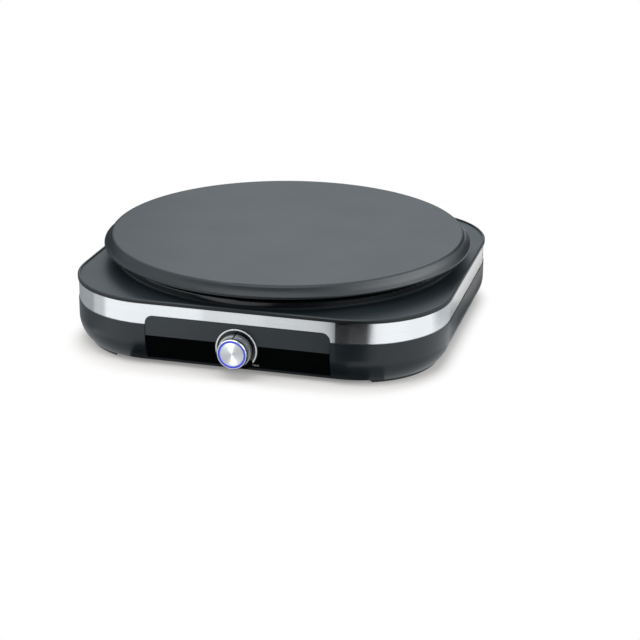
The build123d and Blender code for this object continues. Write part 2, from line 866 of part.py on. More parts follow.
with BuildPart() as fuse_strap:
    with BuildSketch(along_x(fuse_y)):
        saddle_profile(fuse_radius)
    extrude(amount=clip_width / 2, both=True)
    with BuildSketch(level(plate_under)):
        with Locations(*strap_points):
            Circle(small_screw + screw_clearance)
    extrude(amount=-clip_sheet, mode=Mode.SUBTRACT)
fuse_strap.part.label = "fuse_strap"
export_step(fuse_strap.part, "parts/fuse_strap.step")

with BuildPart() as strap_screws:
    with BuildSketch(level(plate_under - clip_sheet)):
        with Locations(*strap_points):
            Circle(small_screw_head)
    extrude(amount=-small_screw_head_height)
    with BuildSketch(level(plate_under - clip_sheet)):
        with Locations(*strap_points):
            Circle(small_screw)
    extrude(amount=clip_sheet + strap_screw_hold)
strap_screws.part.label = "strap_screws"
export_step(strap_screws.part, "parts/strap_screws.step")

# The capillary leaves the bulb, drops through the pan and runs to the thermostat's side.
capillary_x = sensor_length / 2 + capillary_lead
capillary_y = bracket_rear + capillary_back
with BuildPart() as capillary_tube:
    with BuildLine():
        FilletPolyline(
            (sensor_length / 2, sensor_y, sensor_z),
            (capillary_x, sensor_y, sensor_z),
            (capillary_x, sensor_y, capillary_drop_to),
            (capillary_x, capillary_y, capillary_drop_to),
            (thermostat_width / 2, capillary_y, capillary_drop_to),
            radius=capillary_bend,
        )
    with BuildSketch(
        Plane(origin=(sensor_length / 2, sensor_y, sensor_z), x_dir=(0, 1, 0), z_dir=(1, 0, 0))
    ):
        Circle(capillary_radius)
    sweep()
capillary_tube.part.label = "capillary_tube"
export_step(capillary_tube.part, "parts/capillary_tube.step")

# ------------------------------------------------------------------ thermostat
with BuildPart() as thermostat_bracket:
    with BuildSketch(facing(bracket_rear)):
        with Locations((0, bracket_base + bracket_height / 2)):
            Rectangle(bracket_width, bracket_height)
        with Locations((0, knob_height)):
            Circle(neck_radius + thread_clearance, mode=Mode.SUBTRACT)
    extrude(amount=bracket_sheet)
    with BuildSketch(level(bracket_base)):
        with Locations((0, bracket_front + bracket_foot / 2)):
            Rectangle(bracket_width, bracket_foot)
        with Locations(*bracket_points):
            Circle(small_screw + screw_clearance, mode=Mode.SUBTRACT)
    extrude(amount=bracket_sheet)
thermostat_bracket.part.label = "thermostat_bracket"
export_step(thermostat_bracket.part, "parts/thermostat_bracket.step")

with BuildPart() as bracket_screws:
    with BuildSketch(level(bracket_base + bracket_sheet)):
        with Locations(*bracket_points):
            Circle(small_screw_head)
    extrude(amount=small_screw_head_height)
    with BuildSketch(level(bracket_base + bracket_sheet)):
        with Locations(*bracket_points):
            Circle(small_screw)
    extrude(amount=-(bracket_sheet + small_screw_hold - thread_clearance))
bracket_screws.part.label = "bracket_screws"
export_step(bracket_screws.part, "parts/bracket_screws.step")

with BuildPart() as thermostat_body:
    with BuildSketch(facing(bracket_rear)):
        with Locations((0, knob_height)):
            Rectangle(thermostat_width, thermostat_height)
    extrude(amount=-thermostat_depth)
    with BuildSketch(facing(bracket_rear)):
        with Locations((0, knob_height)):
            Circle(neck_radius)
    extrude(amount=neck_length)
    with BuildSketch(facing(shaft_end + screw_clearance)):
        with Locations((0, knob_height)):
            Circle(shaft_radius + shaft_running)
    extrude(amount=shaft_in_body + neck_length + screw_clearance, mode=Mode.SUBTRACT)
thermostat_body.part.label = "thermostat_body"
export_step(thermostat_body.part, "parts/thermostat_body.step")

with BuildPart() as thermostat_nut:
    with BuildSketch(facing(bracket_front)):
        with Locations((0, knob_height)):
            RegularPolygon(nut_flats / 2, 6, major_radius=False)
            Circle(neck_radius + thread_clearance, mode=Mode.SUBTRACT)
    extrude(amount=nut_thickness)
thermostat_nut.part.label = "thermostat_nut"
export_step(thermostat_nut.part, "parts/thermostat_nut.step")

# ------------------------------------------------------------------ front panel
with BuildPart() as front_panel:
    with BuildSketch(Plane.YZ):
        with BuildLine():
            Polyline(
                (panel_face, panel_top),
                (panel_face, crease_z),
                (panel_face + panel_lean, panel_foot),
                (panel_face + panel_lean + panel_thickness, panel_foot),
                (panel_face + panel_thickness, crease_z),
                (panel_face + panel_thickness, panel_top),
                close=True,
            )
        make_face()
    extrude(amount=panel_half, both=True)
    fillet(front_panel.edges().filter_by(Axis.Y).group_by(Axis.Z)[-1], radius=panel_corner)
    # Snap hooks: a cheek each side that catches behind the casing's frame
    for side in (-1, 1):
        with BuildSketch(level(crease_z - hook_height / 2)):
            with BuildLine():
                hook_in = side * (panel_half - hook_wall)
                hook_out = side * (frame_half - hook_gap)
                Polyline(
                    (side * panel_half, hook_root),
                    (side * panel_half, frame_back + hook_gap),
                    (hook_out, frame_back + hook_gap),
                    (side * panel_half, frame_back + hook_gap + hook_wall),
                    (hook_in, frame_back + hook_gap + hook_wall),
                    (hook_in, hook_root),
                    close=True,
                )
            make_face()
        extrude(amount=hook_height / 2 + casing_top - crease_z - tongue_gap)
    # Dial boss: a shallow cup with a flat face, trimmed by the panel's foot
    with BuildSketch(facing(panel_face + dial_depth)):
        with Locations((0, knob_height)):
            Circle(dial_radius)
        with Locations((0, panel_foot - dial_radius)):
            Rectangle(2 * dial_radius, 2 * dial_radius, mode=Mode.SUBTRACT)
    extrude(amount=dial_depth + dial_proud)
    with BuildSketch(facing(panel_face + dial_depth)):
        with Locations((0, knob_height)):
            Circle(dial_radius - dial_wall)
        with Locations((0, panel_foot + dial_wall - dial_radius)):
            Rectangle(2 * dial_radius, 2 * dial_radius, mode=Mode.SUBTRACT)
    extrude(amount=dial_depth + dial_proud - dial_wall, mode=Mode.SUBTRACT)
    with BuildSketch(facing(dial_face + dish_depth)):
        with Locations((0, knob_height)):
            Circle(dish_radius)
        with Locations((0, panel_foot + dial_radius - dish_radius - dish_radius)):
            Rectangle(2 * dish_radius, 2 * dish_radius, mode=Mode.SUBTRACT)
    extrude(amount=dish_depth, mode=Mode.SUBTRACT)
    # Posts for the lamp board, lamp windows and the shaft's hole
    with BuildSketch(facing(dial_face + dial_wall + board_stand)):
        with Locations((0, knob_height)):
            with PolarLocations(board_post_circle, lamp_count, start_angle=30):
                Circle(board_post)
    extrude(amount=board_stand + dial_wall / 2)
    with BuildSketch(facing(dial_face + dial_wall)):
        with Locations((0, knob_height)):
            Circle(shaft_radius + knob_air)
            with PolarLocations(lamp_circle, lamp_count, start_angle=90):
                Circle(lamp_window)
    extrude(amount=dial_wall, mode=Mode.SUBTRACT)
front_panel.part.label = "front_panel"
export_step(front_panel.part, "parts/front_panel.step")

with BuildPart() as dial_arc:
    with BuildSketch(facing(dial_face)):
        with BuildLine():
            CenterArc((0, knob_height), arc_radius, 90 - dial_sweep, 2 * dial_sweep)
        trace(line_width=arc_width)
    extrude(amount=arc_proud)
dial_arc.part.label = "dial_arc"
export_step(dial_arc.part, "parts/dial_arc.step")

board_front = dial_face + dial_wall + board_stand
with BuildPart() as lamp_board:
    with BuildSketch(facing(board_front + board_thickness)):
        with Locations((0, knob_height)):
            Circle(board_radius)
            Circle(board_bore, mode=Mode.SUBTRACT)
        with Locations((0, panel_foot + dial_wall + screw_clearance - dial_radius)):
            Rectangle(2 * dial_radius, 2 * dial_radius, mode=Mode.SUBTRACT)
    extrude(amount=board_thickness)
lamp_board.part.label = "lamp_board"
export_step(lamp_board.part, "parts/lamp_board.step")

with BuildPart() as lamps:
    with BuildSketch(facing(board_front)):
        with Locations((0, knob_height)):
            with PolarLocations(lamp_circle, lamp_count, start_angle=90):
                Rectangle(lamp_size, lamp_size)
    extrude(amount=board_stand - lamp_air)
lamps.part.label = "lamps"
export_step(lamps.part, "parts/lamps.step")


# ------------------------------------------------------------------ knob
# Profiles are drawn in the plane through the knob's axis: X is the radius, Y the depth.
knob_plane = level(knob_height)
groove_at = knob_rear - knob_skirt

with BuildPart() as knob_body:
    with BuildSketch(knob_plane):
        with BuildLine():
            Polyline(
                (hub_radius, knob_rear - hub_gap),
                (hub_radius, knob_seat + knob_web),
                (knob_front_radius - knob_wall, knob_seat + knob_web),
                (knob_front_radius - knob_wall, knob_rear),
                (knob_rear_radius, knob_rear),
                (knob_rear_radius, groove_at),
                (knob_front_radius - knob_groove / 2, groove_at),
                (knob_front_radius - knob_groove / 2, groove_at - knob_groove),
                (knob_front_radius, groove_at - knob_groove),
                (knob_front_radius, knob_seat),
                (0, knob_seat),
                (0, knob_rear - hub_gap),
                close=True,
            )
        make_face()
    revolve(axis=knob_axis)
    # Socket for the flatted shaft, and the pointer mark on top of the skirt
    with BuildSketch(facing(knob_rear - hub_gap)):
        with Locations((0, knob_height)):
            Circle(shaft_radius + shaft_running)
        with Locations((0, knob_height + 2 * shaft_radius - shaft_flat + shaft_running)):
            Rectangle(2 * hub_radius, 2 * shaft_radius, mode=Mode.SUBTRACT)
    extrude(amount=shaft_in_hub, mode=Mode.SUBTRACT)
    with BuildSketch(facing(knob_rear)):
        with Locations((0, knob_height + knob_rear_radius)):
            Rectangle(mark_width, 2 * mark_depth)
    extrude(amount=knob_skirt, mode=Mode.SUBTRACT)
knob_body.part.label = "knob_body"
export_step(knob_body.part, "parts/knob_body.step")

with BuildPart() as knob_cap:
    with BuildSketch(knob_plane):
        with BuildLine():
            Polyline(
                (0, knob_seat),
                (cap_radius, knob_seat),
                (cap_radius, knob_seat - cap_thickness + cap_bevel),
                (cap_radius - cap_bevel, knob_seat - cap_thickness),
                (0, knob_seat - cap_thickness),
                close=True,
            )
        make_face()
    revolve(axis=knob_axis)
knob_cap.part.label = "knob_cap"
export_step(knob_cap.part, "parts/knob_cap.step")

light_inner = cap_radius + ring_gap
light_outer = light_inner + light_ring_width
with BuildPart() as knob_light_ring:
    with BuildSketch(facing(knob_seat)):
        with Locations((0, knob_height)):
            Circle(light_outer)
            Circle(light_inner, mode=Mode.SUBTRACT)
    extrude(amount=knob_front_stack - light_ring_back)
knob_light_ring.part.label = "knob_light_ring"
export_step(knob_light_ring.part, "parts/knob_light_ring.step")

with BuildPart() as knob_trim_ring:
    with BuildSketch(facing(knob_seat)):
        with Locations((0, knob_height)):
            Circle(knob_front_radius)
            Circle(light_outer + ring_gap, mode=Mode.SUBTRACT)
    extrude(amount=knob_front_stack)
    chamfer(knob_trim_ring.edges().group_by(Axis.Y)[0].sort_by(SortBy.RADIUS)[-1], length=knob_bevel)
knob_trim_ring.part.label = "knob_trim_ring"
export_step(knob_trim_ring.part, "parts/knob_trim_ring.step")

with BuildPart() as thermostat_shaft:
    with BuildSketch(facing(shaft_end)):
        with Locations((0, knob_height)):
            Circle(shaft_radius)
    extrude(amount=shaft_end - knob_rear + hub_gap + shaft_in_hub - screw_clearance)
    with BuildSketch(facing(knob_rear)):
        with Locations((0, knob_height + 2 * shaft_radius - shaft_flat)):
            Rectangle(2 * hub_radius, 2 * shaft_radius)
    extrude(amount=knob_reach, mode=Mode.SUBTRACT)
thermostat_shaft.part.label = "thermostat_shaft"
export_step(thermostat_shaft.part, "parts/thermostat_shaft.step")

with BuildPart() as hub_clip:
    with BuildSketch(facing(knob_rear - hub_gap)):
        with Locations((0, knob_height)):
            Circle(hub_radius + ring_gap + clip_wall)
            Circle(hub_radius + ring_gap, mode=Mode.SUBTRACT)
        with Locations((0, knob_height - hub_radius)):
            Rectangle(clip_split, hub_radius, mode=Mode.SUBTRACT)
    extrude(amount=clip_length)
hub_clip.part.label = "hub_clip"
export_step(hub_clip.part, "parts/hub_clip.step")

# ------------------------------------------------------------------ mains inlet
inlet_axis = Axis((inlet_x, 0, inlet_height), (0, 1, 0))
with BuildPart() as cord_bushing:
    with BuildSketch(Plane(origin=(inlet_x, 0, inlet_height))):
        with BuildLine():
            Polyline(
                (bushing_bore, back_y + bushing_flange_thickness),
                (bushing_neck + bushing_flange_thickness / 2, back_y + bushing_flange_thickness),
                (bushing_flange, back_y + bushing_flange_thickness / 2),
                (bushing_flange, back_y),
                (bushing_neck, back_y),
                (bushing_neck, back_y - casing_wall - bushing_gap),
                (bushing_neck + bushing_flange_thickness / 2, back_y - casing_wall - bushing_gap),
                (bushing_neck, back_y - casing_wall - bushing_inside),
                (bushing_bore, back_y - casing_wall - bushing_inside),
                close=True,
            )
        make_face()
    revolve(axis=inlet_axis)
cord_bushing.part.label = "cord_bushing"
export_step(cord_bushing.part, "parts/cord_bushing.step")

with BuildPart() as cord_clamp:
    with BuildSketch(level(clamp_post_top)):
        with Locations((inlet_x, back_y - clamp_in)):
            RectangleRounded(clamp_width, clamp_depth, clamp_depth / 2 - thread_clearance)
        with Locations(*clamp_points):
            Circle(small_screw + screw_clearance, mode=Mode.SUBTRACT)
    extrude(amount=clamp_thickness)
cord_clamp.part.label = "cord_clamp"
export_step(cord_clamp.part, "parts/cord_clamp.step")

with BuildPart() as clamp_screws:
    with BuildSketch(level(clamp_post_top + clamp_thickness)):
        with Locations(*clamp_points):
            Circle(small_screw_head)
    extrude(amount=small_screw_head_height)
    with BuildSketch(level(clamp_post_top + clamp_thickness)):
        with Locations(*clamp_points):
            Circle(small_screw)
    extrude(amount=-(clamp_thickness + small_screw_hold - thread_clearance))
clamp_screws.part.label = "clamp_screws"
export_step(clamp_screws.part, "parts/clamp_screws.step")

block_foot = floor_top + block_pad
with BuildPart() as terminal_block:
    with BuildSketch(level(block_foot)):
        with Locations((inlet_x, block_y)):
            Rectangle(block_width, block_depth)
    extrude(amount=block_height)
    with BuildSketch(level(block_foot + block_height - block_screw_depth)):
        with Locations(*pole_points):
            Circle(block_screw + block_screw_slack)
    extrude(amount=block_screw_depth, mode=Mode.SUBTRACT)
    with BuildSketch(facing(block_y + block_depth / 2)):
        with Locations(*[(x, block_foot + block_wire_height) for x, y in pole_points]):
            Circle(block_wire_hole)
    extrude(amount=block_depth, mode=Mode.SUBTRACT)
terminal_block.part.label = "terminal_block"
export_step(terminal_block.part, "parts/terminal_block.step")

with BuildPart() as terminal_screws:
    with BuildSketch(level(block_foot + block_height - block_screw_depth)):
        with Locations(*pole_points):
            Circle(block_screw)
    extrude(amount=block_screw_depth - block_screw)
terminal_screws.part.label = "terminal_screws"
export_step(terminal_screws.part, "parts/terminal_screws.step")

# ------------------------------------------------------------------ earth tag and wires
with BuildPart() as earth_tag:
    with BuildSketch(level(recess_top - tag_sheet)):
        with Locations((tag_x, tag_y)):
            Circle(tag_radius)
        with Locations((tag_x - (tag_radius + tag_tail) / 2, tag_y)):
            Rectangle(tag_radius + tag_tail, tab_width)
        with Locations((tag_x, tag_y)):
            Circle(small_screw + screw_clearance, mode=Mode.SUBTRACT)
    extrude(amount=tag_sheet)
earth_tag.part.label = "earth_tag"
export_step(earth_tag.part, "parts/earth_tag.step")

# Screw from below, with its nut on the pan's upper side
with BuildPart() as earth_screw:
    with BuildSketch(level(recess_top - tag_sheet)):
        with Locations((tag_x, tag_y)):
            Circle(small_screw_head)
    extrude(amount=-small_screw_head_height)
    with BuildSketch(level(recess_top - tag_sheet)):
        with Locations((tag_x, tag_y)):
            Circle(small_screw)
    extrude(amount=tag_sheet + pan_sheet + small_screw_hold)
    with BuildSketch(level(pan_floor)):
        with Locations((tag_x, tag_y)):
            RegularPolygon(small_screw_head, 6)
            Circle(small_screw + thread_clearance, mode=Mode.SUBTRACT)
    extrude(amount=small_screw_head_height)
earth_screw.part.label = "earth_screw"
export_step(earth_screw.part, "parts/earth_screw.step")

thermostat_rear = bracket_rear + thermostat_depth
tab_z = knob_height - thermostat_tab_drop
with BuildPart() as thermostat_tabs:
    with BuildSketch(facing(thermostat_rear + tab_length)):
        with Locations((-thermostat_tab_x, tab_z), (thermostat_tab_x, tab_z)):
            Rectangle(tab_width, tab_sheet)
    extrude(amount=tab_length)
thermostat_tabs.part.label = "thermostat_tabs"
export_step(thermostat_tabs.part, "parts/thermostat_tabs.step")

# Each wire starts inside the terminal block or on a tab and ends on the next one.
tab_end = thermostat_rear + tab_length
wire_z = block_foot + block_wire_height
element_tab_z = tail_foot - bead_length - pin_length - tab_length
(left_x, left_y), (right_x, right_y) = sorted(tail_points)
live_pole, earth_pole, neutral_pole = pole_points
wire_routes = {
    "wire_live": [
        (live_pole[0], block_y, wire_z),
        (live_pole[0], wire_turn_y, wire_z),
        (-thermostat_tab_x, wire_turn_y, tab_z),
        (-thermostat_tab_x, tab_end, tab_z),
    ],
    "wire_neutral": [
        (neutral_pole[0], block_y, wire_z),
        (neutral_pole[0], block_y - neutral_turn, wire_z),
        (right_x, right_y, wire_z),
        (right_x, right_y, element_tab_z),
    ],
    "wire_switched": [
        (thermostat_tab_x, tab_end, tab_z),
        (thermostat_tab_x, sensor_y, tab_z),
        (wire_rise_x, fuse_y, tab_z),
        (wire_rise_x, fuse_y, fuse_z),
        (fuse_length / 2, fuse_y, fuse_z),
    ],
    "wire_fused": [
        (-fuse_length / 2, fuse_y, fuse_z),
        (-wire_rise_x, fuse_y, fuse_z),
        (-wire_rise_x, fuse_y, wire_crossing),
        (left_x, left_y, wire_crossing),
        (left_x, left_y, element_tab_z),
    ],
    "wire_earth": [
        (earth_pole[0], block_y, wire_z),
        (earth_pole[0], tag_y, wire_z),
        (tag_x - tag_radius - tag_tail / 2, tag_y, wire_z),
        (tag_x - tag_radius - tag_tail / 2, tag_y, recess_top - tag_sheet),
    ],
}
for name, route in wire_routes.items():
    with BuildPart() as wire:
        with BuildLine() as path:
            FilletPolyline(*route, radius=wire_bend)
        with BuildSketch(Plane(origin=path.line @ 0, z_dir=path.line % 0)):
            Circle(wire_radius)
        sweep()
    wire.part.label = name
    export_step(wire.part, f"parts/{name}.step")
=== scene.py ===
# %% [markdown]
# # An electric crepe maker
#
# A round cast plate, about 320 mm across, is screwed down over a low rounded-square base with a steel
# band and one knob. The construction is already packed as solid pieces at their real size. It could be
# copied and changed here, but then the two models would drift apart, so it is loaded as a fixed frame.
# This lesson gives each piece its finish and adds the fine work that is too small for the construction:
# turned rings, drives, threads and print. Everything is in metres, +Z is up, and the knob faces -Y.

from math import cos, pi, radians, sin

import bmesh
import bpy
from mathutils import Matrix, Vector


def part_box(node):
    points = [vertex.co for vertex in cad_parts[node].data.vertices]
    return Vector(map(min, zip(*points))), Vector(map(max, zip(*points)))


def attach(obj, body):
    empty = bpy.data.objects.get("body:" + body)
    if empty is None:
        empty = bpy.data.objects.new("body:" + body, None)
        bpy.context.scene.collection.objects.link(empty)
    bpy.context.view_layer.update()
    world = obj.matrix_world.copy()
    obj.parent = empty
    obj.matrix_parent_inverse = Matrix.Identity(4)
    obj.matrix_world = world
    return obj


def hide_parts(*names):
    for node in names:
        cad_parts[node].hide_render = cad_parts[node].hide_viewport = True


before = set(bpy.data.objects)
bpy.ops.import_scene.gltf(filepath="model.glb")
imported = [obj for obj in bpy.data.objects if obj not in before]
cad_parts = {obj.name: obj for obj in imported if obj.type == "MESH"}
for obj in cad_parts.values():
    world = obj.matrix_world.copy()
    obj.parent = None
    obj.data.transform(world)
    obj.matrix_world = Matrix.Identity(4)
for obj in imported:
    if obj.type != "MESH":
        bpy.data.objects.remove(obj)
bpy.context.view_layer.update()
print("pieces in the construction:", len(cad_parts))


# %% [markdown]
# ## The camera
#
# A product like this is pictured from a little above, with a long lens from well away, so that its
# round plate stays a calm ellipse. A camera can be placed by its coordinates, but azimuth, elevation
# and distance round an aim point say the same thing in words a photographer would use. The shift stays
# at zero, so that the object stays in the picture when the camera is walked round it.

# %% Place the camera
MM = 0.001

camera_aim = Vector((29.76, 0.0, -3.06)) * MM
camera_azimuth = radians(14.60)  # from the front towards the object's right-hand side
camera_elevation = radians(20.32)
camera_roll = radians(0.505)
camera_distance = 1586.5 * MM
camera_lens = 100.73
nearest_seen = 50 * MM


def direction(azimuth, elevation):
    """The way out from the object at this azimuth, measured from the front, and this elevation."""
    level = cos(elevation)
    return Vector((sin(azimuth) * level, -cos(azimuth) * level, sin(elevation)))


def facing(outward):
    """The turn that makes a camera or a lamp, placed out this way, look back at the object."""
    return outward.to_track_quat("Z", "Y").to_matrix().to_4x4()


def into_scene(name, data):
    """Puts a mesh, lamp or camera into the scene as an object."""
    piece = bpy.data.objects.new(name, data)
    bpy.context.scene.collection.objects.link(piece)
    return piece


camera = into_scene("camera", bpy.data.cameras.new("camera"))
outward = direction(camera_azimuth, camera_elevation)
turn = facing(outward) @ Matrix.Rotation(camera_roll, 4, "Z")
camera.matrix_world = Matrix.Translation(camera_aim + outward * camera_distance) @ turn
camera.data.lens = camera_lens
camera.data.clip_start = nearest_seen
bpy.context.scene.camera = camera
print("camera at", [round(v, 3) for v in camera.location])


# %% [markdown]
# ## Colours and nodes
#
# Colours are written as the hex codes that a colour picker gives, which are sRGB, while a shader wants
# linear light, so one function turns them over. Another adds any node: its settings are given by name,
# a plain value is set on its input, and another node is linked to it, by its first output unless one is
# named. The nodes could be drawn in the node editor instead, but written down they can be read and
# copied. Sizes stay real: a noise of scale 1 has features about one metre across here, so a grain of
# 0.5 mm needs a scale of 2000. Nearly all values of a noise lie between 0.3 and 0.7.


# %% Small helpers
def linear(code):
    """An sRGB hex colour as linear RGBA."""
    parts = [int(code[i : i + 2], 16) / 255 for i in (1, 3, 5)]
    return [p / 12.92 if p <= 0.04045 else ((p + 0.055) / 1.055) ** 2.4 for p in parts] + [1.0]


def dimmed(colour, share):
    """A linear colour at this share of its brightness."""
    return [share * part for part in colour[:3]] + [1.0]


def grain(size):
    """The scale of a noise whose features are this many millimetres across."""
    return 1000.0 / size


def add(tree, kind, inputs=(), **settings):
    """Adds a shader node with its settings. Each input, by name or number, is a value or another node."""
    node = tree.nodes.new("ShaderNode" + kind)
    for name, value in settings.items():
        setattr(node, name, value)
    for name, value in dict(inputs).items():
        if isinstance(value, bpy.types.Node):
            value = value.outputs[0]
        if isinstance(value, bpy.types.NodeSocket):
            tree.links.new(value, node.inputs[name])
        else:
            node.inputs[name].default_value = value
    return node


def spread(cloud, low, high):
    """The inputs of a Map Range node that lets a noise drift from low to high."""
    return {"Value": cloud, "From Min": 0.3, "From Max": 0.7, "To Min": low, "To Max": high}


def new_material(name):
    """An empty material and its node tree, with the output node in place."""
    material = bpy.data.materials.new(name)
    material.use_nodes = True
    material.node_tree.nodes.clear()
    add(material.node_tree, "OutputMaterial")
    return material, material.node_tree


def finish_with(tree, shader):
    """Feeds this shader to the material's output."""
    tree.links.new(shader.outputs[0], tree.nodes["Material Output"].inputs["Surface"])


def dress(material, *names):
    """Gives these pieces of the construction one finish."""
    for name in names:
        for material_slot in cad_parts[name].material_slots:
            material_slot.material = material
    print(material.name, "->", ", ".join(names))


def as_mesh(name, shape, material=None):
    """Turns mesh code into a mesh, and frees it."""
    mesh = bpy.data.meshes.new(name)
    shape.to_mesh(mesh)
    shape.free()
    if material:
        mesh.materials.append(material)
    return mesh


# %% [markdown]
# ## The floor
#
# The object stands on a plain white sweep of paper. Paper that is as white as paper can be still comes
# out a little grey, and turning the lamps up would burn out the object. The paper could glow instead,
# but glow fills the shadow as well. So the camera sees real paper only beside the base, where the soft
# contact shadow lies, and that paper fades to plain white over 20 mm. The fade follows the distance
# from the base's outline: a rectangle without its corners, and the corner radius round it. Everything
# shiny sees almost plain glowing white paper.

# %% Make the floor
floor_half = 6.0
paper_gain = 0.82  # how much of the light that falls on the paper the camera sees
paper_glow = 0.23  # and how much the paper adds to that, which softens the shadow
mirrored_glow = 1.35  # how strongly the paper glows in reflections
mirrored_share = 0.85  # and how much of the paper in them is that glow
shade_end = 20 * MM  # the contact shadow fades out over this distance from the base
shade_shift = 8 * MM  # and reaches this much further in front
side_fade = 1.12  # to the sides it ends a little sooner
base_core = (82.4, 75.0)  # half the base's outline without its round corners, in millimetres
base_corner = 78.5 * MM

shape = bmesh.new()
bmesh.ops.create_grid(shape, x_segments=1, y_segments=1, size=floor_half)
white_paper, tree = new_material("white_paper")
floor = into_scene("floor", as_mesh("floor", shape, white_paper))

white = linear("#f4f3f1")
rays = add(tree, "LightPath").outputs
plain = add(tree, "BsdfDiffuse", {"Color": white})
dimmer = add(tree, "BsdfDiffuse", {"Color": dimmed(white, paper_gain)})
faint = add(tree, "Emission", {"Color": white, "Strength": paper_glow})
lifted = add(tree, "AddShader", {0: dimmer, 1: faint})
glow = add(tree, "Emission", {"Color": linear("#f3f6f9"), "Strength": mirrored_glow})
open_white = add(tree, "Emission", {"Color": linear("#ffffff"), "Strength": 1.0})
seen = add(tree, "MixShader", {0: rays["Is Camera Ray"], 1: plain, 2: lifted})
shiny = add(tree, "Math", {0: rays["Is Glossy Ray"], 1: rays["Is Transmission Ray"]}, operation="MAXIMUM")
glowing = add(tree, "Math", {0: shiny, 1: mirrored_share}, operation="MULTIPLY")
near = add(tree, "MixShader", {0: glowing, 1: seen, 2: glow})

reach = add(tree, "TexCoord").outputs["Object"]
steps = {
    "ADD": (0.0, shade_shift, 0.0),
    "ABSOLUTE": (0.0, 0.0, 0.0),
    "SUBTRACT": (base_core[0] * MM, base_core[1] * MM, 0.0),
    "MAXIMUM": (0.0, 0.0, 0.0),
    "MULTIPLY": (side_fade, 1.0, 0.0),
}
for operation, amount in steps.items():
    reach = add(tree, "VectorMath", {0: reach, 1: amount}, operation=operation)
reach = add(tree, "VectorMath", {0: reach}, operation="LENGTH").outputs["Value"]
fade = {"Value": reach, "From Min": base_corner, "From Max": base_corner + shade_end}
away = add(tree, "MapRange", fade, interpolation_type="SMOOTHSTEP")
away = add(tree, "Math", {0: away, 1: rays["Is Camera Ray"]}, operation="MULTIPLY")
finish_with(tree, add(tree, "MixShader", {0: away, 1: near, 2: open_white}))
print("floor", 2 * floor_half, "m wide")


# %% [markdown]
# ## The light
#
# A white room lights the object evenly, and three large soft lamps give it shape: one over the plate,
# one on the left that models the corner, and one on the right. Three more only show in glossy surfaces:
# one behind, which brightens the far side of the plate, one in front, whose mirror image is the bow tie
# on the knob, and one on the right that lays a sheen on the plate's edge and lights nothing else. The
# world shows as plain white to the camera and to anything shiny, but gives less light than that to matt
# surfaces, so that the lamps can do the modelling.

# %% Light the room
room_light = 0.62  # what the room gives to matt surfaces
room_gloss = 1.00  # what shiny surfaces see of it

room = bpy.data.worlds.new("white_room")
room.use_nodes = True
tree = room.node_tree
tree.nodes.clear()
rays = add(tree, "LightPath").outputs
shiny = add(tree, "Math", {0: rays["Is Glossy Ray"], 1: rays["Is Transmission Ray"]}, operation="MAXIMUM")
raised = {0: shiny, 1: room_gloss - room_light, 2: room_light}
strength = add(tree, "Math", raised, operation="MULTIPLY_ADD")
strength = add(tree, "Math", {0: strength, 1: rays["Is Camera Ray"]}, operation="MAXIMUM")
tones = {"Factor": rays["Is Glossy Ray"], "A": linear("#ffffff"), "B": linear("#e9f6fd")}
tint = add(tree, "Mix", tones, data_type="RGBA").outputs[2]
sky = add(tree, "Background", {"Color": tint, "Strength": strength})
add(tree, "OutputWorld", {"Surface": sky})
bpy.context.scene.world = room
bpy.context.scene.view_settings.view_transform = "Standard"


def soft_lamp(name, azimuth, elevation, distance, width, power, matt=True):
    """A square lamp facing the object, in degrees, metres and watts. Without matt, only gloss sees it."""
    lamp = bpy.data.lights.new(name, "AREA")
    lamp.size = width
    lamp.energy = power
    piece = into_scene(name, lamp)
    away = direction(radians(azimuth), radians(elevation))
    piece.matrix_world = Matrix.Translation(away * distance) @ facing(away)
    piece.visible_diffuse = matt
    print(name, power, "W")
    return piece


def light_only(lamp, group_name, *pieces):
    """Keeps this lamp's light for these pieces alone."""
    group = bpy.data.collections.new(group_name)
    for piece in pieces:
        group.objects.link(piece)
    lamp.light_linking.receiver_collection = group


soft_lamp("top_lamp", -20, 72, 1.6, 1.2, 10.0)
soft_lamp("left_lamp", -65, 35, 1.6, 1.0, 3.0)
soft_lamp("right_lamp", 60, 30, 1.8, 0.9, 5.0)
front_lamp = soft_lamp("front_lamp", -17, 10, 1.5, 1.15, 25.0, matt=False)
soft_lamp("back_lamp", 195, 50, 1.4, 1.0, 4.4, matt=False)
edge_lamp = soft_lamp("edge_lamp", 102, 36, 1.6, 1.3, 27.0, matt=False)
light_only(edge_lamp, "plate_edge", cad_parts["cooking_plate"])


# %% [markdown]
# ## Dark card for the steel
#
# Polished and brushed metal shows only its surroundings, and in an all-white room it turns into flat
# white paper. Photographers lay black and grey card just outside the picture to draw dark edges in the
# metal. The cards here do that work and nothing else: they are seen by reflections only and neither
# show nor throw a shadow. Upright surfaces that are seen from a little above mirror the floor in front
# of them, so most of the cards lie flat. The black fan draws the one dark bar in the front bend, the
# slips shade the band beside it, a card before the panel keeps its polished half black, and the arcs at
# the feet stand for the shade under the round corners. The dark grey cards far off at the back left keep
# the plate's edge dark on its left side.

# %% Lay the cards
floor_gap, arc_gap, top_gap = 1.0, 1.5, 2.0  # millimetres over the floor, so that cards can overlap
arc_near, arc_far = 60, 98  # the arcs' two radii round a corner of the base, in millimetres
arc_steps = 12
black, grey = "#08090a", "#383c3f"


def card(name, colour, corners, strength=1.0):
    """A flat card that only reflections see. Its corners are in millimetres."""
    shade, tree = new_material(name)
    finish_with(tree, add(tree, "Emission", {"Color": linear(colour), "Strength": strength}))
    shape = bmesh.new()
    shape.faces.new([shape.verts.new(Vector(corner) * MM) for corner in corners])
    piece = into_scene(name, as_mesh(name, shape, shade))
    piece.visible_camera = False
    piece.visible_diffuse = False
    piece.visible_shadow = False
    piece.visible_transmission = False
    print(name, colour)


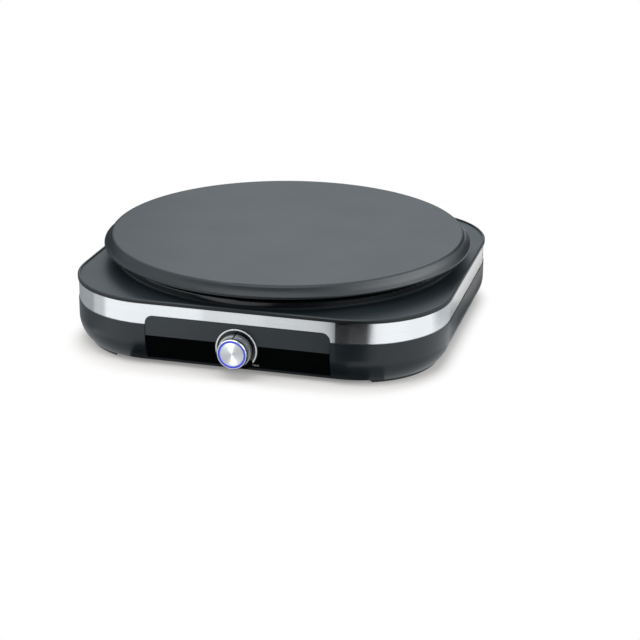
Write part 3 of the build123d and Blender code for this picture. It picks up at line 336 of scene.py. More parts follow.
def floor_card(name, colour, corners, height=floor_gap, strength=1.0):
    """A card that lies just over the floor."""
    card(name, colour, [(x, y, height) for x, y in corners], strength)


def upright_card(name, colour, start, end, top):
    """A card that stands on the floor from one point to another."""
    card(name, colour, [(*start, floor_gap), (*end, floor_gap), (*end, top), (*start, top)])


def arc_card(name, colour, side, start, end):
    """An arc on the floor round the front corner on this side, from one angle in degrees to another."""
    middle = (side * base_core[0], -base_core[1])
    turns = [radians(start + (end - start) * step / arc_steps) for step in range(arc_steps + 1)]
    rim = [(arc_far, turn) for turn in turns] + [(arc_near, turn) for turn in reversed(turns)]
    corners = [(middle[0] + radius * cos(turn), middle[1] + radius * sin(turn)) for radius, turn in rim]
    floor_card(name, colour, corners, height=arc_gap)


# the fan spreads from the front right corner, so that it draws one dark bar in the bend of the band
floor_card("fan_card", black, [(73, -190), (-195, -1140), (690, -970), (124, -190)])
upright_card("fan_wall", black, (-195, -1140), (690, -970), 900)
floor_card("front_slip", "#f6f8f9", [(-45, -190), (-330, -1140), (-260, -1140), (10, -190)])
floor_card("near_slip", "#e9ecee", [(10, -190), (-260, -1140), (-195, -1140), (73, -190)])
floor_card("panel_card", "#050505", [(-96, -150), (-102, -184), (92, -184), (92, -150)], top_gap)
# painted shade: the grey card under the front lip stands for the shaded floor beneath the base
floor_card("lip_card", "#55585b", [(-96, -122), (-96, -150), (92, -150), (92, -122)], top_gap)
floor_card("left_card", "#a2a7ab", [(-170, -130), (-170, 300), (-700, 300), (-700, -130)])
floor_card("far_left_card", grey, [(-170, 300), (-170, 1300), (-900, 1300), (-900, 300)])
upright_card("far_left_wall", grey, (-600, 1300), (-900, 1300), 450)
upright_card("far_left_side", grey, (-900, 300), (-900, 1300), 450)
floor_card("left_slip", "#d2d5d7", [(-180, -167), (-170, -130), (-700, -130), (-700, -335)])
floor_card("right_card", "#bfc4c7", [(179, 10), (260, -60), (400, 75), (179, 75)])
floor_card("right_slip", "#ffffff", [(179, 75), (400, 75), (400, 600), (179, 600)], strength=1.05)
# painted shade: the black strip beside the right side stands for the shaded floor the casing mirrors
floor_card("side_card", black, [(163, -45), (170, -30), (178, 20), (178, 500), (162, 500)], top_gap)
upright_card("side_wall", "#101214", (190, 900), (700, 900), 700)
arc_card("left_foot", "#d0d3d6", -1, 165, 268)
arc_card("bar_foot", "#484a4c", 1, 264, 291)
arc_card("bar_edge", "#8c8f92", 1, 291, 302)
arc_card("right_foot", "#dcdfe2", 1, 302, 375)


# %% [markdown]
# ## Moulded plastic
#
# The casing and the cover are black ABS, injection moulded in a tool whose walls were eroded by sparks.
# That leaves a fine, even, satin grain of about 0.3 mm with rounded tops. A picture of such grain could
# be wrapped round the parts, but a noise in the part's own space has no seams and keeps its scale on
# every side. It is drawn at 0.7 mm, because finer grain than that melts away in the picture. The gloss
# drifts a little from place to place, as it does where a moulding cooled unevenly. The cover's narrow
# side is painted darker than its top, as painted shade, so its colour changes with the way that the
# surface faces.

# %% Make the plastics
cooling_size = 45  # millimetres over which the gloss of a moulding drifts
hollow_shade = 0.85  # the hollows of the grain are this much as bright as its tops


def moulded_plastic(name, colour, gloss, grain_size=0.7, grain_depth=0.012, ior=1.53, edge=None):
    """Spark-eroded plastic: satin, fine rounded grain, uneven gloss. Edge paints shade on its sides."""
    material, tree = new_material(name)
    place = add(tree, "TexCoord").outputs["Object"]
    fine = add(tree, "TexNoise", {"Vector": place, "Scale": grain(grain_size)})
    cloud = add(tree, "TexNoise", {"Vector": place, "Scale": grain(cooling_size)})
    tones = {"Factor": fine, "A": dimmed(linear(colour), hollow_shade), "B": linear(colour)}
    shade = add(tree, "Mix", tones, data_type="RGBA").outputs[2]
    # painted shade: surfaces that face sideways take the darker edge colour
    if edge:
        normal = add(tree, "NewGeometry").outputs["Normal"]
        upward = add(tree, "SeparateXYZ", {0: normal}).outputs["Z"]
        top = add(tree, "MapRange", {"Value": upward, "From Min": 0.2, "From Max": 0.7})
        tones = {"Factor": top, "A": linear(edge), "B": shade}
        shade = add(tree, "Mix", tones, data_type="RGBA").outputs[2]
    finish_with(tree, add(tree, "BsdfPrincipled", {
        "IOR": ior,
        "Base Color": shade,
        "Roughness": add(tree, "MapRange", spread(cloud, *gloss)),
        "Normal": add(tree, "Bump", {"Height": fine, "Distance": grain_depth * MM}),
    }))
    return material


casing_abs = moulded_plastic("satin_moulded_abs", "#131c21", (0.30, 0.36), ior=1.45)
# the cover's sides take a darker colour as painted shade
cover_abs = moulded_plastic("cover_moulded_abs", "#222b2f", (0.42, 0.47), ior=1.43, edge="#0c1012")
dress(casing_abs, "lower_casing")
dress(cover_abs, "top_cover")


# %% [markdown]
# ## Brushed steel
#
# The band is 0.6 mm stainless strip, brushed along its length before it is bent round the base. The
# scratches run level all the way round, so the band mirrors its surroundings sharply from side to side
# and smears them up and down. Anisotropy gives exactly that smear. Its direction has to follow the
# bends, so it is worked out from the surface normal and the upright axis and needs no unwrapping. The
# scratches themselves are 0.05 mm fine; they are drawn at 0.4 mm, which is as fine as the picture can
# show.

# %% Make the steel
scratch_size = (90, 90, 0.4)  # in millimetres: the scratches are long when level and thin upright
quarter_turn = 0.25  # lays the smear across the scratches

brushed_stainless, tree = new_material("brushed_stainless")
place = add(tree, "TexCoord").outputs["Object"]
stretch = add(tree, "Mapping", {"Vector": place, "Scale": [grain(size) for size in scratch_size]})
scratches = add(tree, "TexNoise", {"Vector": stretch, "Scale": 1.0, "Roughness": 0.6})
normal = add(tree, "NewGeometry").outputs["Normal"]
tones = {"Factor": scratches, "A": linear("#d6d7d8"), "B": linear("#e8e9ea")}
finish_with(tree, add(tree, "BsdfPrincipled", {
    "Metallic": 1.0,
    "Anisotropic": 1.0,
    "Anisotropic Rotation": quarter_turn,
    "Tangent": add(tree, "VectorMath", {0: normal, 1: (0.0, 0.0, 1.0)}, operation="CROSS_PRODUCT"),
    "Base Color": add(tree, "Mix", tones, data_type="RGBA").outputs[2],
    "Roughness": add(tree, "MapRange", spread(scratches, 0.19, 0.23)),
}))
dress(brushed_stainless, "steel_band")


# %% [markdown]
# ## The front panel
#
# The panel is one moulding with two surfaces, cut into the tool: the upright upper half is eroded like
# the casing, and everything below the crease is polished to piano black, as is the round dial. Two
# materials with a list of faces would work, but the finish changes at a height and a radius, so one
# material can ask each point where it is. The edge between the two surfaces is as sharp as the tool's.

# %% Finish the panel
crease_height = 27.4 * MM
knob_height = 23.1 * MM
dial_radius = 18.05 * MM
panel_grain = 0.012 * MM  # the depth of the eroded upper half's grain


def off_axis(tree, place):
    """How far each point is from the knob's axis."""
    flat = add(tree, "VectorMath", {0: place, 1: (1.0, 0.0, 1.0)}, operation="MULTIPLY")
    on_axis = (0.0, 0.0, knob_height)
    return add(tree, "VectorMath", {0: flat, 1: on_axis}, operation="DISTANCE").outputs["Value"]


two_gloss_abs, tree = new_material("two_gloss_abs")
place = add(tree, "TexCoord").outputs["Object"]
height = add(tree, "SeparateXYZ", {0: place}).outputs["Z"]
below = add(tree, "Math", {0: height, 1: crease_height}, operation="LESS_THAN")
on_dial = add(tree, "Math", {0: off_axis(tree, place), 1: dial_radius}, operation="LESS_THAN")
polished = add(tree, "Math", {0: below, 1: on_dial}, operation="MAXIMUM")
tones = {"Factor": polished, "A": linear("#162026"), "B": linear("#050607")}
cloud = add(tree, "TexNoise", {"Vector": place, "Scale": grain(30)})
haze = add(tree, "MapRange", spread(cloud, 0.04, 0.07))
fine = add(tree, "TexNoise", {"Vector": place, "Scale": grain(0.7)})
depth = add(tree, "Math", {0: polished, 1: -panel_grain, 2: panel_grain}, operation="MULTIPLY_ADD")
finish_with(tree, add(tree, "BsdfPrincipled", {
    "IOR": 1.5,
    "Base Color": add(tree, "Mix", tones, data_type="RGBA").outputs[2],
    "Roughness": add(tree, "Mix", {"Factor": polished, "A": 0.36, "B": haze}, data_type="FLOAT"),
    "Normal": add(tree, "Bump", {"Height": fine, "Distance": depth}),
}))
dress(two_gloss_abs, "front_panel")


# %% [markdown]
# ## The coated plate
#
# The plate is cast aluminium, blasted and then sprayed with non-stick coating. The blasting leaves a
# shallow, irregular roughness under the coat, so the surface is satin and very slightly pebbled, and a
# fine sparkle of mica shows in the grey. Seen at a low angle such a surface turns pale with the sky it
# reflects. That paleness comes from the shader's own reflection and isn't painted.

# %% Finish the plate
nonstick_coating, tree = new_material("nonstick_coating")
place = add(tree, "TexCoord").outputs["Object"]
mica = add(tree, "TexVoronoi", {"Vector": place, "Scale": grain(0.8)})
flecks = {"Value": mica, "From Min": 0.12, "From Max": 0.02, "To Min": 0.0, "To Max": 0.5}
tones = {"Factor": add(tree, "MapRange", flecks), "A": linear("#131a1e"), "B": linear("#3c4448")}
pebble = add(tree, "TexNoise", {"Vector": place, "Scale": grain(0.9), "Detail": 3.0, "Roughness": 0.55})
cloud = add(tree, "TexNoise", {"Vector": place, "Scale": grain(60), "Detail": 3.0})
finish_with(tree, add(tree, "BsdfPrincipled", {
    "IOR": 1.42,
    "Base Color": add(tree, "Mix", tones, data_type="RGBA").outputs[2],
    "Roughness": add(tree, "MapRange", spread(cloud, 0.38, 0.42)),
    "Normal": add(tree, "Bump", {"Height": pebble, "Distance": 0.02 * MM}),
}))
dress(nonstick_coating, "cooking_plate")


# %% [markdown]
# ## Enamel, rubber and the plain insulators
#
# The drip pan is pressed steel with a baked black enamel, which flows before it sets and so stays
# glossy with a faint orange peel 3 mm across. The feet and the inlet's bushing are moulded rubber,
# nearly matt. Inside are brown phenolic on the thermostat, natural nylon on the terminal block and the
# clamp, fired steatite beads on the element's ends and the lamp board's white solder resist. Each has a
# grain and a gloss of its own, and all of them can use the moulded plastic's recipe with other sizes.

# %% Finish the pan, the feet and the insulators
pan_enamel = moulded_plastic("baked_enamel", "#171b1d", (0.14, 0.22), 3.0, 0.02)
moulded_rubber = moulded_plastic("moulded_rubber", "#1a1a1a", (0.62, 0.75), 0.5, 0.02)
phenolic = moulded_plastic("phenolic_moulding", "#1d1611", (0.28, 0.36), 0.6, 0.006, ior=1.6)
natural_nylon = moulded_plastic("natural_nylon", "#dcd8c8", (0.42, 0.52), 1.2, 0.01)
steatite = moulded_plastic("steatite_ceramic", "#e8e4da", (0.35, 0.50), 0.8, 0.015, ior=1.6)
solder_resist = moulded_plastic("white_solder_resist", "#dfe2df", (0.22, 0.30), 1.6, 0.01)
dress(pan_enamel, "drip_pan")
dress(moulded_rubber, "rubber_feet", "cord_bushing")
dress(phenolic, "thermostat_body")
dress(natural_nylon, "terminal_block", "cord_clamp")
dress(steatite, "element_beads")
dress(solder_resist, "lamp_board")


# %% [markdown]
# ## Plain metals
#
# Screws, straps and brackets are zinc plated, tabs are nickel plated, the bulb and its tube are copper,
# and the heating tube is a nickel alloy that heat has tinted. They differ in colour and in how cloudy
# they are, so one recipe serves them all: two tones mixed by a cloud of real size, and a gloss that
# follows the same cloud. The silver ink of the dial's arc is metal flake in lacquer, so it is only
# partly a metal. The chrome ring round the knob's face is polished on its lip alone; behind that it is
# left satin, and its colour there is painted darker as well, as painted shade.

# %% Make the metals
scuff_size = 0.4  # millimetres across the fine scratches or crystals
lip_depth = 0.3 * MM  # the polished part of the chrome ring, from its front
lip_fade = 0.1 * MM


def plated_metal(name, low, high, gloss, cloud_size, fine_depth=0.004, metallic=1.0):
    """Metal in two tones that drift over each other, with fine scratches or crystals."""
    material, tree = new_material(name)
    place = add(tree, "TexCoord").outputs["Object"]
    cloudy = {"Vector": place, "Scale": grain(cloud_size), "Detail": 4.0, "Roughness": 0.6}
    cloud = add(tree, "TexNoise", cloudy)
    cloud = add(tree, "MapRange", {"Value": cloud, "From Min": 0.35, "From Max": 0.65})
    scuffs = add(tree, "TexNoise", {"Vector": place, "Scale": grain(scuff_size), "Detail": 1.0})
    tones = {"Factor": cloud, "A": linear(low), "B": linear(high)}
    finish_with(tree, add(tree, "BsdfPrincipled", {
        "Metallic": metallic,
        "Base Color": add(tree, "Mix", tones, data_type="RGBA").outputs[2],
        "Roughness": add(tree, "MapRange", {"Value": cloud, "To Min": gloss[1], "To Max": gloss[0]}),
        "Normal": add(tree, "Bump", {"Height": scuffs, "Distance": fine_depth * MM}),
    }))
    return material


zinc_plate = plated_metal("zinc_plate", "#a3a8ae", "#c5cad0", (0.28, 0.42), 2.5)
nickel_plate = plated_metal("nickel_plate", "#b7b2a6", "#d2cdc2", (0.18, 0.30), 4.0)
drawn_copper = plated_metal("drawn_copper", "#8f5136", "#cf8a63", (0.24, 0.42), 6.0)
tinted_alloy = plated_metal("heat_tinted_alloy", "#5b544e", "#8d8579", (0.34, 0.50), 9.0)
yellow_brass = plated_metal("yellow_brass", "#a98443", "#d6b36a", (0.22, 0.34), 3.0)
hard_chrome = plated_metal("bright_chrome", "#dfe1e6", "#eceef1", (0.05, 0.09), 5.0, fine_depth=0.0005)
silver_ink = plated_metal(
    "silver_ink", "#dadcde", "#eceeef", (0.34, 0.42), 3.0, fine_depth=0.001, metallic=0.4
)

tree = hard_chrome.node_tree
shader = tree.nodes["Principled BSDF"]
lip_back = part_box("knob_trim_ring")[0].y + lip_depth
place = tree.nodes["Texture Coordinate"].outputs["Object"]
back = add(tree, "SeparateXYZ", {0: place}).outputs["Y"]
behind = add(tree, "MapRange", {"Value": back, "From Min": lip_back, "From Max": lip_back + lip_fade})
# behind the lip the ring is satin, and its darker colour there is painted shade
satin_and_shaded_back = {"Base Color": ("RGBA", 2, linear("#5f6468")), "Roughness": ("FLOAT", 0, 0.30)}
for name, (kind, result, satin) in satin_and_shaded_back.items():
    polish = shader.inputs[name].links[0].from_socket
    blend = add(tree, "Mix", {"Factor": behind, "A": polish, "B": satin}, data_type=kind)
    tree.links.new(blend.outputs[result], shader.inputs[name])

dress(
    zinc_plate, "plate_spacers", "plate_screws", "plate_washers", "casing_screws", "sensor_strap",
    "fuse_strap", "strap_screws", "thermostat_bracket", "thermostat_nut", "bracket_screws",
    "clamp_screws", "thermostat_shaft", "hub_clip", "earth_screw",
)
dress(nickel_plate, "element_terminals", "thermal_fuse", "thermostat_tabs", "earth_tag")
dress(drawn_copper, "sensor_bulb", "capillary_tube")
dress(tinted_alloy, "heating_element")
dress(yellow_brass, "terminal_screws")
dress(hard_chrome, "knob_trim_ring")
dress(silver_ink, "dial_arc")


# %% [markdown]
# ## Wires
#
# The supply wires are silicone rubber in the colours that every electrician reads: brown for live, blue
# for neutral, green and yellow for earth. Those near the plate wear a braided glass sleeve. The braid
# is a weave of 0.8 mm, which two crossed wave textures draw well enough at this size, and the earth
# wire's stripe is a wave too.

# %% Cover the wires
band_density = 1.8  # draws the slanting bands about as narrow as a thread
thread_depth = 0.08 * MM


def braid(name, low, high, thread, gloss):
    """Two crossed waves of one thread's width: a braided sleeve."""
    material, tree = new_material(name)
    place = add(tree, "TexCoord").outputs["Object"]
    mirrored = add(tree, "Mapping", {"Vector": place, "Scale": (-1.0, 1.0, 1.0)})
    scale = grain(thread) / (2 * pi) * band_density
    over, under = (
        add(tree, "TexWave", {"Vector": space, "Scale": scale}, bands_direction="DIAGONAL").outputs["Fac"]
        for space in (place, mirrored)
    )
    weave = add(tree, "Math", {0: over, 1: under}, operation="MAXIMUM")
    tones = {"Factor": weave, "A": linear(low), "B": linear(high)}
    finish_with(tree, add(tree, "BsdfPrincipled", {
        "Roughness": gloss,
        "Base Color": add(tree, "Mix", tones, data_type="RGBA").outputs[2],
        "Normal": add(tree, "Bump", {"Height": weave, "Distance": thread_depth}),
    }))
    return material


brown_silicone = moulded_plastic("brown_silicone", "#5a3620", (0.42, 0.52), grain_size=1.5)
blue_silicone = moulded_plastic("blue_silicone", "#2456a4", (0.42, 0.52), grain_size=1.5)
glass_braid = braid("glass_braid", "#b9b5a8", "#e9e6dc", 0.8, 0.65)
earth_silicone = braid("green_yellow_silicone", "#4f8f2a", "#d9cf3a", 3.0, 0.45)
dress(brown_silicone, "wire_live")
dress(blue_silicone, "wire_neutral")
dress(glass_braid, "wire_switched", "wire_fused")
dress(earth_silicone, "wire_earth")


# %% [markdown]
# ## Turned and spun aluminium
#
# The knob's body and its cap come off a lathe, so their scratches run in circles round the knob's axis.
# Light smears across such scratches, which draws the bright bow tie over a spun face. The direction of
# the scratches at any point is the cross product of the way out from the axis and the axis itself, so
# the same few nodes serve the face and the sides. It is turned from the piece's space into the room's,
# or the bow tie would turn with the knob. The rings are about 0.3 mm apart: coarser than the tool's
# feed, but fine enough to read as turned.

# %% Make the turned metals
ring_size = 0.3  # millimetres, about, from one turned ring to the next
mark_foot = knob_height + 9.0 * MM  # a dark stripe above this height is painted shade that stands for the pointer notch


def turned_metal(name, low, high, gloss, smear, mark=0.0):
    """Metal from the lathe, with fine rings round the knob's axis, and perhaps a notch in painted shade.
    """
    material, tree = new_material(name)
    place = add(tree, "TexCoord").outputs["Object"]
    out = add(tree, "VectorMath", {0: place, 1: (0.0, 0.0, knob_height)}, operation="SUBTRACT")
    around = add(tree, "VectorMath", {0: out, 1: (0.0, 1.0, 0.0)}, operation="CROSS_PRODUCT")
    into_room = {"vector_type": "VECTOR", "convert_from": "OBJECT", "convert_to": "WORLD"}
    around = add(tree, "VectorTransform", {"Vector": around}, **into_room)
    flat = add(tree, "VectorMath", {0: out, 1: (1.0, 0.0, 1.0)}, operation="MULTIPLY")
    radius = add(tree, "VectorMath", {0: flat}, operation="LENGTH").outputs["Value"]
    axes = add(tree, "SeparateXYZ", {0: place}).outputs
    travel = add(tree, "Math", {0: radius, 1: axes["Y"]}, operation="ADD")
    rings = add(tree, "TexNoise", {"W": travel, "Scale": grain(ring_size)}, noise_dimensions="1D")
    tones = {"Factor": rings, "A": linear(low), "B": linear(high)}
    tone = add(tree, "Mix", tones, data_type="RGBA").outputs[2]
    # painted shade: a near-black stripe stands for the pointer notch and the shade in it
    if mark:
        sideways = add(tree, "Math", {0: axes["X"]}, operation="ABSOLUTE")
        narrow = add(tree, "Math", {0: sideways, 1: mark / 2}, operation="LESS_THAN")
        above = add(tree, "Math", {0: axes["Z"], 1: mark_foot}, operation="GREATER_THAN")
        notch_shade_mask = add(tree, "Math", {0: narrow, 1: above}, operation="MULTIPLY")
        tones = {"Factor": notch_shade_mask, "A": tone, "B": linear("#0b0c0d")}
        tone = add(tree, "Mix", tones, data_type="RGBA").outputs[2]
    finish_with(tree, add(tree, "BsdfPrincipled", {
        "Metallic": 1.0,
        "Roughness": gloss,
        "Anisotropic": smear,
        "Anisotropic Rotation": quarter_turn,
        "Base Color": tone,
        "Tangent": add(tree, "VectorMath", {0: around}, operation="NORMALIZE"),
    }))
    return material


satin_aluminium = turned_metal("satin_turned_aluminium", "#ccced0", "#e6e7e8", 0.32, 0.6, mark=1.2 * MM)
spun_aluminium = turned_metal("spun_aluminium", "#c0c2c5", "#dfe1e3", 0.40, 0.85)
dress(satin_aluminium, "knob_body")


# %% [markdown]
# ## The lit ring
#
# A ring of milky acrylic carries light from the lamps behind the panel to the knob's face. It glows
# blue along its middle line and paler at its two edges, a little stronger in some places than in
# others, under a clear glossy skin. A lamp inside a clear ring would need many light paths, so the
# surface glows by itself. The lamps are small blocks of clear blue resin that glow faintly.

# %% Light the ring and the lamps
ring_middle = 10.92 * MM
ring_half_glow = 0.60 * MM  # beyond this distance from its middle line the ring is milky
milky_fade = 0.25 * MM
glow_size = 8  # millimetres over which the glow grows stronger and weaker


def lit_plastic(name, low, high, strength, skin, edge=None):
    """Plastic that glows unevenly under a glossy skin. Edge is the glow along a ring's two edges."""
    material, tree = new_material(name)
    place = add(tree, "TexCoord").outputs["Object"]
    cloud = add(tree, "TexNoise", {"Vector": place, "Scale": grain(glow_size), "Detail": 1.0})
    tones = {"Factor": cloud, "A": linear(low), "B": linear(high)}
    glow = add(tree, "Mix", tones, data_type="RGBA").outputs[2]
    if edge:
        off_line = add(tree, "Math", {0: off_axis(tree, place), 1: ring_middle}, operation="SUBTRACT")
        off_line = add(tree, "Math", {0: off_line}, operation="ABSOLUTE")
        fade = {"Value": off_line, "From Min": ring_half_glow, "From Max": ring_half_glow + milky_fade}
        tones = {"Factor": add(tree, "MapRange", fade), "A": glow, "B": linear(edge)}
        glow = add(tree, "Mix", tones, data_type="RGBA").outputs[2]
    finish_with(tree, add(tree, "BsdfPrincipled", {
        "Base Color": linear(skin),
        "Roughness": 0.25,
        "IOR": 1.49,
        "Emission Color": glow,
        "Emission Strength": strength,
    }))
    return material


lit_acrylic = lit_plastic("lit_acrylic", "#2a35b8", "#3f4cd4", 0.68, "#20267a", edge="#b3b8ee")
blue_resin = lit_plastic("blue_resin", "#5c6ae0", "#9aa4ff", 0.4, "#7b86e8")
dress(lit_acrylic, "knob_light_ring")
dress(blue_resin, "lamps")


# %% [markdown]
# ## The spun cap
#
# The cap is a disc of sheet aluminium, spun on the lathe with a slightly hollow face and a rolled edge.
# The construction holds it as a plain disc. A cylinder would need cutting, while a lathe shape is only
# a profile turned round an axis, so the profile is laid out as a few points and spun once, exactly as
# the real one is made. The bright bow tie on such a face is the mirror image of a lamp, so one lamp in
# front is kept for the knob's end alone.

# %% Spin the cap
cap_low, cap_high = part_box("knob_cap")
knob_axis = Vector((0.0, 0.0, (cap_low.z + cap_high.z) / 2))
cap_radius = (cap_high.x - cap_low.x) / 2
cap_hollow = 0.12 * MM  # how far the middle of the face lies back
cap_roll = 0.35 * MM  # radius of the rolled edge
face_steps = 8
roll_steps = 5
weld = 0.001 * MM  # points nearer than this are one


def spun_piece(name, profile, axis_point, axis, material, steps=96):
    """Turns a profile of points once round an axis into a closed piece."""
    shape = bmesh.new()
    points = [shape.verts.new(point) for point in profile]
    edges = [shape.edges.new(pair) for pair in zip(points, points[1:])]
    bmesh.ops.spin(
        shape, geom=points + edges, cent=axis_point, axis=axis, angle=2 * pi, steps=steps, use_merge=True
    )
    bmesh.ops.remove_doubles(shape, verts=shape.verts, dist=weld)
    bmesh.ops.recalc_face_normals(shape, faces=shape.faces)
    mesh = as_mesh(name, shape, material)
    mesh.shade_smooth()
    mesh.set_sharp_from_angle(angle=radians(40))
    print(name, len(mesh.polygons), "faces")
    return into_scene(name, mesh)


def cap_point(radius, depth):
    """A point of the cap's profile, this far from the axis and behind the rim's front."""
    return Vector((radius, cap_low.y + depth, knob_axis.z))


face = []
for step in range(face_steps + 1):
    share = step / face_steps
    face.append(cap_point(share * (cap_radius - cap_roll), cap_hollow * (1 - share**2)))
roll = []
for step in range(1, roll_steps + 1):
    angle = step / roll_steps * pi / 2
    roll.append(cap_point(cap_radius - cap_roll * (1 - sin(angle)), cap_roll * (1 - cos(angle))))
back = [Vector((radius, cap_high.y, knob_axis.z)) for radius in (cap_radius, 0.0)]
spun_cap = spun_piece("spun_cap", face + roll + back, knob_axis, Vector((0, 1, 0)), spun_aluminium)
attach(spun_cap, "knob")
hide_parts("knob_cap")
light_only(front_lamp, "shiny_end", spun_cap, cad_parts["knob_trim_ring"])


# %% [markdown]
# ## The word on the dial
#
# Where the silver arc ends, a small word in plain capitals says that this is the hottest setting. It is
# printed in the arc's silver ink, a few hundredths of a millimetre thick. A text object gives the
# letters; it is turned into a mesh before it is laid on the leaning half of the panel, so that its
# place is in its mesh like every other piece's.

# %% Print the word
word_height = 2.1 * MM
word_left = 11.4 * MM
word_foot = 7.9 * MM
word_thickness = 0.04 * MM
size_per_capital = 1.37  # capitals are 0.73 of a font's size
panel_foot = 6.7 * MM
panel_lean = 5.6 * MM
panel_face = -152.9 * MM
crease_front = Vector((0.0, panel_face, crease_height))
down_panel = Vector((0.0, panel_lean, panel_foot - crease_height)).normalized()

letters = bpy.data.curves.new("max_word", "FONT")
letters.body = "MAX"
letters.size = word_height * size_per_capital
letters.extrude = word_thickness / 2
letters.resolution_u = 3
writing = bpy.data.objects.new("max_writing", letters)
flat_word = bpy.data.meshes.new_from_object(writing)
bpy.data.objects.remove(writing)

side = Vector((1.0, 0.0, 0.0))
out = side.cross(-down_panel)
run = (word_foot - crease_height) / down_panel.z
corner = crease_front + down_panel * run + side * word_left + out * (word_thickness / 2)
place = Matrix.Translation(corner) @ Matrix((side, -down_panel, out)).transposed().to_4x4()
shape = bmesh.new()
shape.from_mesh(flat_word)
bmesh.ops.remove_doubles(shape, verts=shape.verts, dist=weld)
bmesh.ops.transform(shape, matrix=place, verts=shape.verts)
max_word = into_scene("max_word", as_mesh("max_word", shape, silver_ink))
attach(max_word, "base")
print("word", [round(1000 * v, 1) for v in corner])


# %% [markdown]
# ## Screws
#
# The construction holds each screw as a plain head on a plain shank. Real ones have a drive in the head
# and a thread. A true helix costs thousands of faces on a part that is mostly hidden, so the thread is
# drawn as rings of the same pitch, part of one profile that is spun round the screw's axis. The drive
# is cut by a cross or a slot that is subtracted from the head. Where the screws sit, how long they are
# and how wide their heads are is read from the construction.

# %% Cut and place the screws
thread_root = 0.80  # the thread's root, as a share of the shank's radius
crown_flat, crown_edge = 0.55, 0.86  # where the crown starts to fall, and its corner, in head radii
crown_drop, side_top = 0.16, 0.5  # how far it falls to the corner and to the side, in head heights
cross_arm, slot_arm = 0.55, 1.1  # reach of the drive's arms, in head radii
arm_half = 0.13  # half an arm's width, in head radii
drive_depth = 0.55  # in head heights
next_turn = 0.7  # radians from one screw's drive to the next one's, as they never stop alike


def solid_boxes(name):
    """The low and high corner of each separate solid in a piece of the construction, in a fixed order."""
    shape = bmesh.new()
    shape.from_mesh(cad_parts[name].data)
    bmesh.ops.transform(shape, matrix=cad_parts[name].matrix_world, verts=shape.verts)
    bmesh.ops.remove_doubles(shape, verts=shape.verts, dist=weld)
    boxes = []
    unseen = set(shape.verts)
    while unseen:
        found = [unseen.pop()]
        for vert in found:
            near = {edge.other_vert(vert) for edge in vert.link_edges} & unseen
            unseen -= near
            found.extend(near)
        low = Vector([min(vert.co[axis] for vert in found) for axis in range(3)])
        high = Vector([max(vert.co[axis] for vert in found) for axis in range(3)])
        boxes.append((low, high))
    shape.free()
    return sorted(boxes, key=lambda box: tuple(box[0]))


def screw_profile(head_radius, head_height, shank_radius, length, pitch):
    """Half of a screw's outline, from the middle of its head down to its tip."""
    root = shank_radius * thread_root
    points = [
        (0.0, 0.0),
        (crown_flat * head_radius, 0.0),
        (crown_edge * head_radius, -crown_drop * head_height),
        (head_radius, -side_top * head_height),
        (head_radius, -head_height),
        (shank_radius, -head_height),
    ]
    depth = head_height + pitch / 2
    while depth + pitch < length:
        points += [(root, -depth), (shank_radius, -depth - pitch / 2)]
        depth += pitch
    return points + [(root, -length), (0.0, -length)]


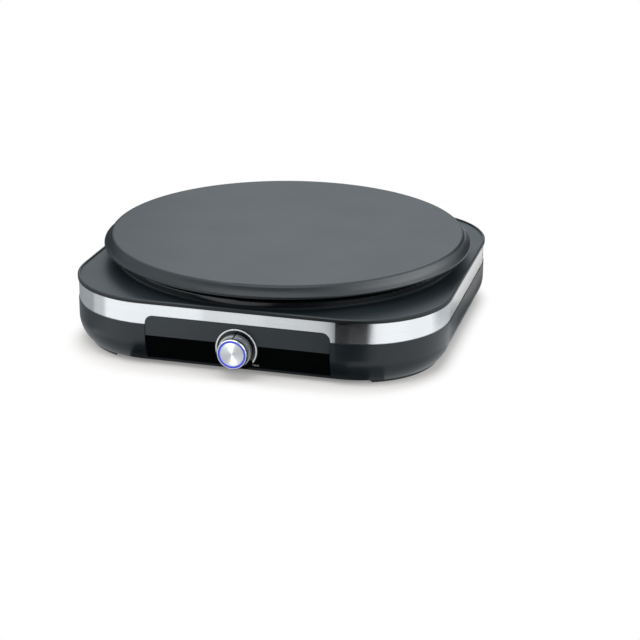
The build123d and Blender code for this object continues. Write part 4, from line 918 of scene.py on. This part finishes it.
def cut_drive(blank, drive, head_radius, head_height):
    """Subtracts a cross or a slot from the head, and gives the finished mesh."""
    width = head_radius * arm_half
    depth = head_height * drive_depth
    if drive == "cross":
        arm = head_radius * cross_arm
        half = [(arm, -width), (arm, width), (width, width), (width, arm), (-width, arm), (-width, width)]
        outline = half + [(-x, -y) for x, y in half]
    else:
        arm = head_radius * slot_arm
        outline = [(arm, -width), (arm, width), (-arm, width), (-arm, -width)]
    shape = bmesh.new()
    face = shape.faces.new([shape.verts.new((x, y, -depth)) for x, y in outline])
    top = bmesh.ops.extrude_face_region(shape, geom=[face])["geom"]
    top_verts = [item for item in top if isinstance(item, bmesh.types.BMVert)]
    bmesh.ops.translate(shape, vec=(0, 0, 2 * depth), verts=top_verts)
    bmesh.ops.recalc_face_normals(shape, faces=shape.faces)
    cutter = into_scene("drive", as_mesh("drive", shape))
    cut = blank.modifiers.new("drive", "BOOLEAN")
    cut.object = cutter
    cut.operation = "DIFFERENCE"
    cut.solver = "EXACT"
    graph = bpy.context.evaluated_depsgraph_get()
    mesh = bpy.data.meshes.new_from_object(blank.evaluated_get(graph))
    bpy.data.objects.remove(cutter)
    bpy.data.objects.remove(blank)
    return mesh


def place_screws(node, slot, material, head_height, shank_radius, drive, pitch, head_up):
    """Replaces a node's plain screws with cut ones of the same size in the same places."""
    name = "cut_" + node
    boxes = solid_boxes(node)
    low, high = boxes[0]
    head_radius = (high.x - low.x) / 2
    profile = screw_profile(head_radius, head_height, shank_radius, high.z - low.z, pitch)
    points = [Vector((x, 0.0, z)) for x, z in profile]
    blank = spun_piece(name + "_blank", points, Vector(), Vector((0, 0, 1)), material, steps=32)
    cut = cut_drive(blank, drive, head_radius, head_height)
    shape = bmesh.new()
    for number, (low, high) in enumerate(boxes):
        before = set(shape.verts)
        shape.from_mesh(cut)
        middle = (low + high) / 2
        place = Matrix.Translation((middle.x, middle.y, high.z if head_up else low.z))
        if not head_up:
            place @= Matrix.Rotation(pi, 4, "X")
        place @= Matrix.Rotation(next_turn * number, 4, "Z")
        added = [vert for vert in shape.verts if vert not in before]
        bmesh.ops.transform(shape, matrix=place, verts=added)
    mesh = as_mesh(name, shape, material)
    mesh.set_sharp_from_angle(angle=radians(35))
    piece = into_scene(name, mesh)
    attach(piece, "base")
    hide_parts(node)
    print(name, len(boxes), "screws,", len(mesh.polygons), "faces")


zinc = ("zinc_steel", zinc_plate)
brass = ("brass", yellow_brass)
place_screws("casing_screws", *zinc, 2.6 * MM, 1.75 * MM, "cross", 1.2 * MM, head_up=False)
place_screws("bracket_screws", *zinc, 1.8 * MM, 1.5 * MM, "cross", 0.8 * MM, head_up=True)
place_screws("clamp_screws", *zinc, 1.8 * MM, 1.5 * MM, "cross", 0.8 * MM, head_up=True)
place_screws("strap_screws", *zinc, 1.6 * MM, 1.3 * MM, "cross", 0.6 * MM, head_up=False)
place_screws("terminal_screws", *brass, 1.6 * MM, 1.2 * MM, "slot", 0.6 * MM, head_up=True)
